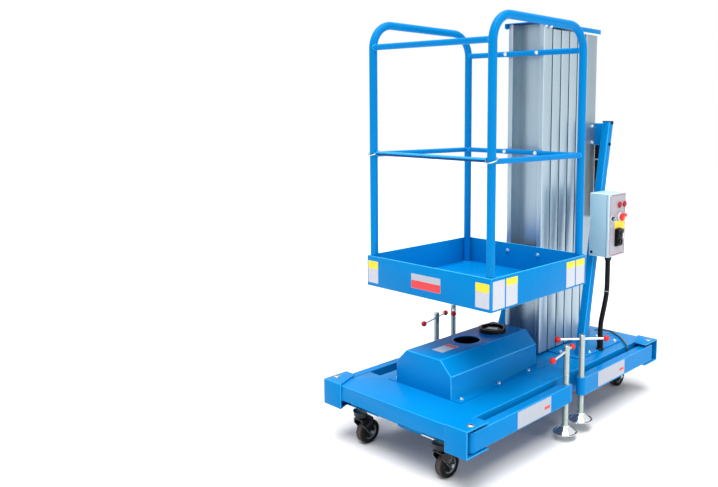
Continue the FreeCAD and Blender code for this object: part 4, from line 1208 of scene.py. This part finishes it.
def casterMounts():
    v = mountValues
    plate = roundedOutline(v["far"] - v["near"], v["front"] - v["back"], v["corner"])
    shape = bmesh.new()
    for low, high in partBoxes("caster_plates"):
        centre = (low + high) / 2
        spot = Vector((math.copysign((v["near"] + v["far"]) / 2, centre.x),
                       math.copysign((v["front"] + v["back"]) / 2, centre.y),
                       high.z + trimValues["beamRise"] - v["thick"]))
        addPrism(shape, plate, spot, xWay, yWay, v["thick"])
        addLathe(shape, Vector((centre.x, centre.y, low.z)), zWay, v["neck"], 40, 1)
    makePiece("caster_mounts", shape, "chassis", [zinc, blackPaint], ["caster_plates"], 30)


casterMounts()
finishNode("power_unit", castSteel)
print("casters made")


# pivot bolts: domed heads with a hexagon recess, washers, and nuts with their thin ends below
boltValues = {"head": 6, "washerTall": 1.2, "dome": 58, "domeTall": 4.8, "domeIn": 5.6, "domeWide": 7.6,
              "recess": 4.7, "recessTurn": 10, "recessDeep": 4, "nut": 12, "nutTurn": 20}


def sixSided(flat, count, turn=0):
    # six flats, each as far from the middle, cut into count points
    outline = []
    for a, b in circle(1, count):
        reach = flat / math.cos((math.atan2(b, a) - math.radians(turn)) % (math.pi / 3) - math.pi / 6)
        outline.append((reach * a, reach * b))
    return outline


def pivotBolts():
    v = boltValues
    end, recess = math.cos(math.radians(v["dome"])), v["recess"]
    dome = [(v["domeTall"] * sine / math.sin(math.radians(v["dome"])),
             v["domeIn"] + v["domeWide"] * (cosine - end) / (1 - end)) for sine, cosine in arc(0, v["dome"], 8)]
    shape = bmesh.new()
    for low, high in partBoxes("pivot_pins"):
        centre = flatMiddle(low, high)
        top, bottom = high.z, low.z
        seat = top - v["head"]
        crown = seat + v["washerTall"]
        addRing(shape, centre, zWay, [(bottom + 6, 8), (seat, 8), (seat, 7), (bottom + 6, 7)], 40)
        # washer, dome and the recess
        profile = [(seat - 0.4, 0), (seat - 0.4, 15.4), (crown, 15.4), (crown, 13.4)]
        profile += [(crown + up, radius) for up, radius in dome]
        addLathe(shape, centre, zWay, profile + [(top - v["recessDeep"], 5.4), (top - v["recessDeep"], 0)])
        addBand(shape, circle(5.5, 24), sixSided(recess * math.cos(math.pi / 6), 24, v["recessTurn"]),
                centre + zWay * (top - 3.9), xWay, yWay, 0, 3.2)
        # a dark disc at the recess's floor: painted shade
        addPrism(shape, circle(recess, 6, v["recessTurn"]), centre + zWay * (top - 4.1), xWay, yWay, 0.3, 1)
        addPrism(shape, circle(v["nut"], 6, v["nutTurn"]), centre + zWay * bottom, xWay, yWay, 6)
        addLathe(shape, centre, zWay, [(bottom - 6, 0), (bottom - 6, 5), (bottom - 4.8, 6), (bottom + 1, 6),
                                       (bottom + 1, 0)], 32)
    makePiece("pivot_bolts", shape, "chassis", [zincRod, seamAndRecessShade], ["pivot_pins"], 30)


pivotBolts()
print("pivot bolts made")


# entry bar: a straight tube between two rings that slide on the front posts
entryValues = {"line": 21.5, "hook": 3.5, "tube": 9, "wire": 2.4, "alongX": 21.5, "alongY": 23.6, "drop": 9.5}


def entryBar():
    v = entryValues
    low, high = nodeBox("entry_bar")
    postX = high.x - v["line"] - v["hook"]
    y, ringZ, tubeZ = (low.y + high.y) / 2, high.z - v["hook"], low.z + v["tube"]
    reach = postX - v["line"]
    shape = bmesh.new()
    addTube(shape, [Vector((-reach, y, tubeZ)), Vector((0, y, tubeZ)), Vector((reach, y, tubeZ))], v["tube"], 28)
    shape.normal_update()
    for face in shape.faces:
        # painted highlight above, painted shade below
        face.material_index = 1 if face.normal.z > 0.1 else 2
    for side in (-1, 1):
        # a bright wire ring that hangs lower at its front
        points = [Vector((side * postX + v["alongX"] * a, y + v["alongY"] * b, ringZ - v["drop"] * (1 - b)))
                  for a, b in circle(1, 64)]
        addTube(shape, points, v["wire"], 12, 3, True)
        ringWeld(shape, Vector((side * reach, y, tubeZ)), xWay, v["tube"])
    makePiece("entry_bar_rings", shape, "entry_bar", [blue, blueHighlight, blueShade, zinc], ["entry_bar"],
              40)


entryBar()


# fasteners: places on the machine, each with the way its head faces
fastenerValues = {
    # out from the middle, along, up
    "rail": ((88, 88.5, 1645), (88, 90, 1199), (88, 124, 729)),
    "spacer": ((110, 125, 1766), (110, 165, 1766)),
    "cap": ((98, 555, 1314), (98, 559, 1235)),
    "deck": ((255, 320, 256), (255, 555, 256), (150, 236, 256), (150, 560, 256)),
    "cover": ((182, -505, 253), (182, -270, 253), (182, -62, 253)),
    "plateEdge": 9, "plateFront": 11, "panelEdge": 8, "braceLevels": (1332, 1228),
}


def bothSides(places, way=None):
    # without a way the heads face outward
    return [((side * x, y, z), way or xWay * side) for side in (-1, 1) for x, y, z in places]


def fasteners():
    v = fastenerValues
    addScrews("rail_bolts", "platform", "M8", bothSides(v["rail"], -yWay) + bothSides(v["spacer"]), brightZinc)
    addScrews("mast_bolts", "chassis", "M8", bothSides(v["cap"]) + bothSides(v["deck"], zWay), brightZinc)
    addScrews("cover_bolts", "chassis", "M8", bothSides(v["cover"], zWay), brightZinc)
    edge, front = v["plateEdge"], mountValues["front"] - v["plateFront"]
    spots = [((x, math.copysign(min(abs(y), front), y), low.z + trimValues["beamRise"]), -zWay)
             for low, high in partBoxes("caster_plates")
             for x in (low.x, high.x) for y in (low.y + edge, high.y - edge)]
    addScrews("caster_bolts", "chassis", "M8", spots, zinc)
    low, high = nodeBox("control_panel")
    edge = v["panelEdge"]
    spots = [((high.x, y, z), xWay) for y in (low.y + edge, high.y - edge)
             for z in (low.z + edge, (low.z + high.z) / 2, high.z - edge)]
    addScrews("panel_screws", "chassis", "M4", spots, zinc)
    # along the slanted braces
    shares = [(z, (z - 256) / 1082) for z in v["braceLevels"]]
    addScrews("brace_bolts", "chassis", "M8", bothSides([(260 - 86 * share, 269 + 343 * share, z)
                                                         for z, share in shares]), blackPaint)


def jackNut(corner):
    # nut round the jack's screw on the arm's top, its upper edge broken
    outer, inner = sixSided(16.4, 36), circle(14.3, 36)
    small = [(a * 0.96, b * 0.96) for a, b in outer]
    shape = bmesh.new()
    bridge(shape, raisedRows(shape, jackSpot(corner) + zWay * nodeBox("outrigger_" + corner)[1].z, xWay, yWay,
                             ((outer, 0), (outer, 2.4), (small, 3.0), (inner, 3.0), (inner, 0))), 0, True)
    makePiece(f"jack_nut_{corner}", shape, "outrigger_" + corner, [zinc], (), 30)


fasteners()
for corner in corners:
    jackNut(corner)


# black plugs in the braces' open tops and in the cabinet's side, and ribs under the platform's floor
smallValues = {"plug": 41, "plugTall": 3.5, "plugInset": 20, "boxInset": 14, "boxLevel": 732,
               "ribs": (-380, -200, -20), "ribHalf": 300, "ribSeat": 8.2}


def smallParts():
    v = smallValues
    shape = bmesh.new()
    inset = v["plugInset"]
    for low, high in partBoxes("mast_braces"):
        centre = Vector((high.x - inset if low.x < 0 else low.x + inset, high.y - inset, high.z))
        addPrism(shape, roundedOutline(v["plug"], v["plug"], 3), centre, xWay, yWay, v["plugTall"])
    low, high = nodeBox("control_box")
    addLathe(shape, Vector((low.x + v["boxInset"], low.y, v["boxLevel"])), -yWay,
             [(0, 6.5), (1.6, 6.5), (2.4, 5.4), (2.4, 0)], 28)
    makePiece("plugs", shape, "chassis", [blackPlastic], (), 30)
    low, high = nodeBox("platform_tray")
    shape = bmesh.new()
    for y in v["ribs"]:
        addPrism(shape, [(-30, 0), (-26, -7), (26, -7), (30, 0)], Vector((-v["ribHalf"], y, low.z + v["ribSeat"])),
                 yWay, zWay, 2 * v["ribHalf"])
    makePiece("tray_ribs", shape, "platform", [blue], (), 30)


smallParts()
print("fasteners made")


# blank plates: bands and stripes stay, words and signs are left out
plateValues = {"thick": 0.6, "corner": 3, "over": 0.3, "trayFront": -528, "traySide": 345, "arm": 397,
               "coverTop": 401}


def addPlate(shape, spot, across, up, spanA, spanB, stuff=0, lift=0.0, corner=plateValues["corner"]):
    # a thin sheet on a wall, from its spans along across and up
    centre = Vector(spot) + across * (sum(spanA) / 2) + up * (sum(spanB) / 2) + across.cross(up) * lift
    addPrism(shape, roundedOutline(spanA[1] - spanA[0], spanB[1] - spanB[0], corner), centre, across, up,
             plateValues["thick"], stuff)


def plates():
    v = plateValues
    over = v["over"]
    # materials: white, yellow, grey, red
    shape = bmesh.new()
    front = (0, v["trayFront"], 0)
    for (left, right), (low, high) in (((-338, -276), (649, 744)), ((268, 337), (647, 743))):
        addPlate(shape, front, xWay, zWay, (left, right), (low, high))
        addPlate(shape, front, xWay, zWay, (left + 1, right - 1), (low + 62, high - 1), 1, over, 2)
    addPlate(shape, front, xWay, zWay, (-76, 87), (666, 726), 2)
    addPlate(shape, front, xWay, zWay, (-75, 86), (667, 699), 3, over, 2)
    side = (v["traySide"], 0, 0)
    for (near, far), band in (((-518, -446), False), ((-438, -366), True), ((-25, 40), True), ((48, 115), True)):
        addPlate(shape, side, yWay, zWay, (near, far), (642, 752))
        if band:
            addPlate(shape, side, yWay, zWay, (near + 1, far - 1), (724, 751), 1, over, 2)
    makePiece("tray_plates", shape, "platform", [whiteVinyl, yellowVinyl, greyVinyl, redVinyl], (), 30)
    side = (v["arm"], 0, 0)
    for corner, (near, far), (low, high) in (("front_right", (-421, -197), (164, 232)),
                                             ("rear_right", (170, 404), (166, 234))):
        shape = bmesh.new()
        addPlate(shape, side, yWay, zWay, (near, far), (low, high))
        addPlate(shape, side, yWay, zWay, (far - 46, far - 8), (low + 22, low + 34), 1, over, 1)
        makePiece(f"arm_plate_{corner}", shape, "outrigger_" + corner, [paleVinyl, redVinyl], (), 30)
    shape = bmesh.new()
    addPlate(shape, (0, 0, v["coverTop"]), xWay, yWay, (-20, 40), (-465, -363))
    addPlate(shape, (0, 0, v["coverTop"]), xWay, yWay, (-19, 39), (-392, -366), 1, over, 1)
    makePiece("cover_plate", shape, "chassis", [whiteVinyl, redVinyl], (), 30)
    shape = bmesh.new()
    addPlate(shape, (panelFront, 0, 0), yWay, zWay, (396, 490), (840, 880), 0, -0.1, 1)
    makePiece("panel_plate", shape, "chassis", [yellowVinyl], (), 30)


plates()
print("plates made")


# light, floor and background
stageValues = {
    "floorHalf": 14.0,
    "fill": 0.4,
    "lamps": (
        # name, energy, the way towards the lamp, its spread in degrees
        ("key", 0.9, (0.45, -0.5, 0.95), 28),
        ("side", 0.75, (1.0, 0.25, 0.35), 28),
        ("top", 3.5, (0.0, -0.12, 1.0), 50),
    ),
}


def buildStage():
    v = stageValues
    bpy.context.scene.view_settings.view_transform = "Standard"
    world = bpy.data.worlds.new("studio")
    bpy.context.scene.world = world
    world.use_nodes = True
    tree = world.node_tree
    tree.nodes.clear()
    rays = addNode(tree, "ShaderNodeLightPath")
    seen = addNode(tree, "ShaderNodeMath", {0: rays.outputs["Is Camera Ray"], 1: rays.outputs["Is Glossy Ray"]},
                   operation="MAXIMUM")
    through = addNode(tree, "ShaderNodeMath", {0: seen.outputs[0], 1: rays.outputs["Is Transmission Ray"]},
                      operation="MAXIMUM")
    strength = addNode(tree, "ShaderNodeMapRange", {"Value": through.outputs[0], "To Min": v["fill"], "To Max": 1.0})
    ground = addNode(tree, "ShaderNodeBackground", {"Color": (1, 1, 1, 1), "Strength": strength.outputs[0]})
    addNode(tree, "ShaderNodeOutputWorld", {"Surface": ground.outputs[0]})
    for name, energy, way, spread in v["lamps"]:
        lamp = bpy.data.lights.new(name, "SUN")
        lamp.energy = energy
        lamp.angle = math.radians(spread)
        holder = bpy.data.objects.new(name, lamp)
        bpy.context.scene.collection.objects.link(holder)
        holder.rotation_mode = "QUATERNION"
        holder.rotation_quaternion = Vector(way).to_track_quat("Z", "Y")
    material = bpy.data.materials.new("paleFloor")
    material.use_nodes = True
    tree = material.node_tree
    tree.nodes.clear()
    place = addNode(tree, "ShaderNodeTexCoord").outputs["Object"]
    noise = addNode(tree, "ShaderNodeTexNoise", {"Vector": place, "Scale": 3.0, "Detail": 2.0})
    tone = addNode(tree, "ShaderNodeMapRange", {"Value": noise.outputs["Fac"], "To Min": 0.86, "To Max": 0.9})
    surface = addNode(tree, "ShaderNodeBsdfPrincipled", {"Roughness": 0.85, "Base Color": tone.outputs[0]})
    addNode(tree, "ShaderNodeOutputMaterial", {"Surface": surface.outputs[0]})
    h = v["floorHalf"]
    mesh = bpy.data.meshes.new("floor")
    mesh.from_pydata([(-h, -h, 0), (h, -h, 0), (h, h, 0), (-h, h, 0)], [], [(0, 1, 2, 3)])
    mesh.materials.append(material)
    floor = bpy.data.objects.new("floor", mesh)
    bpy.context.scene.collection.objects.link(floor)


buildStage()
print("stage made")
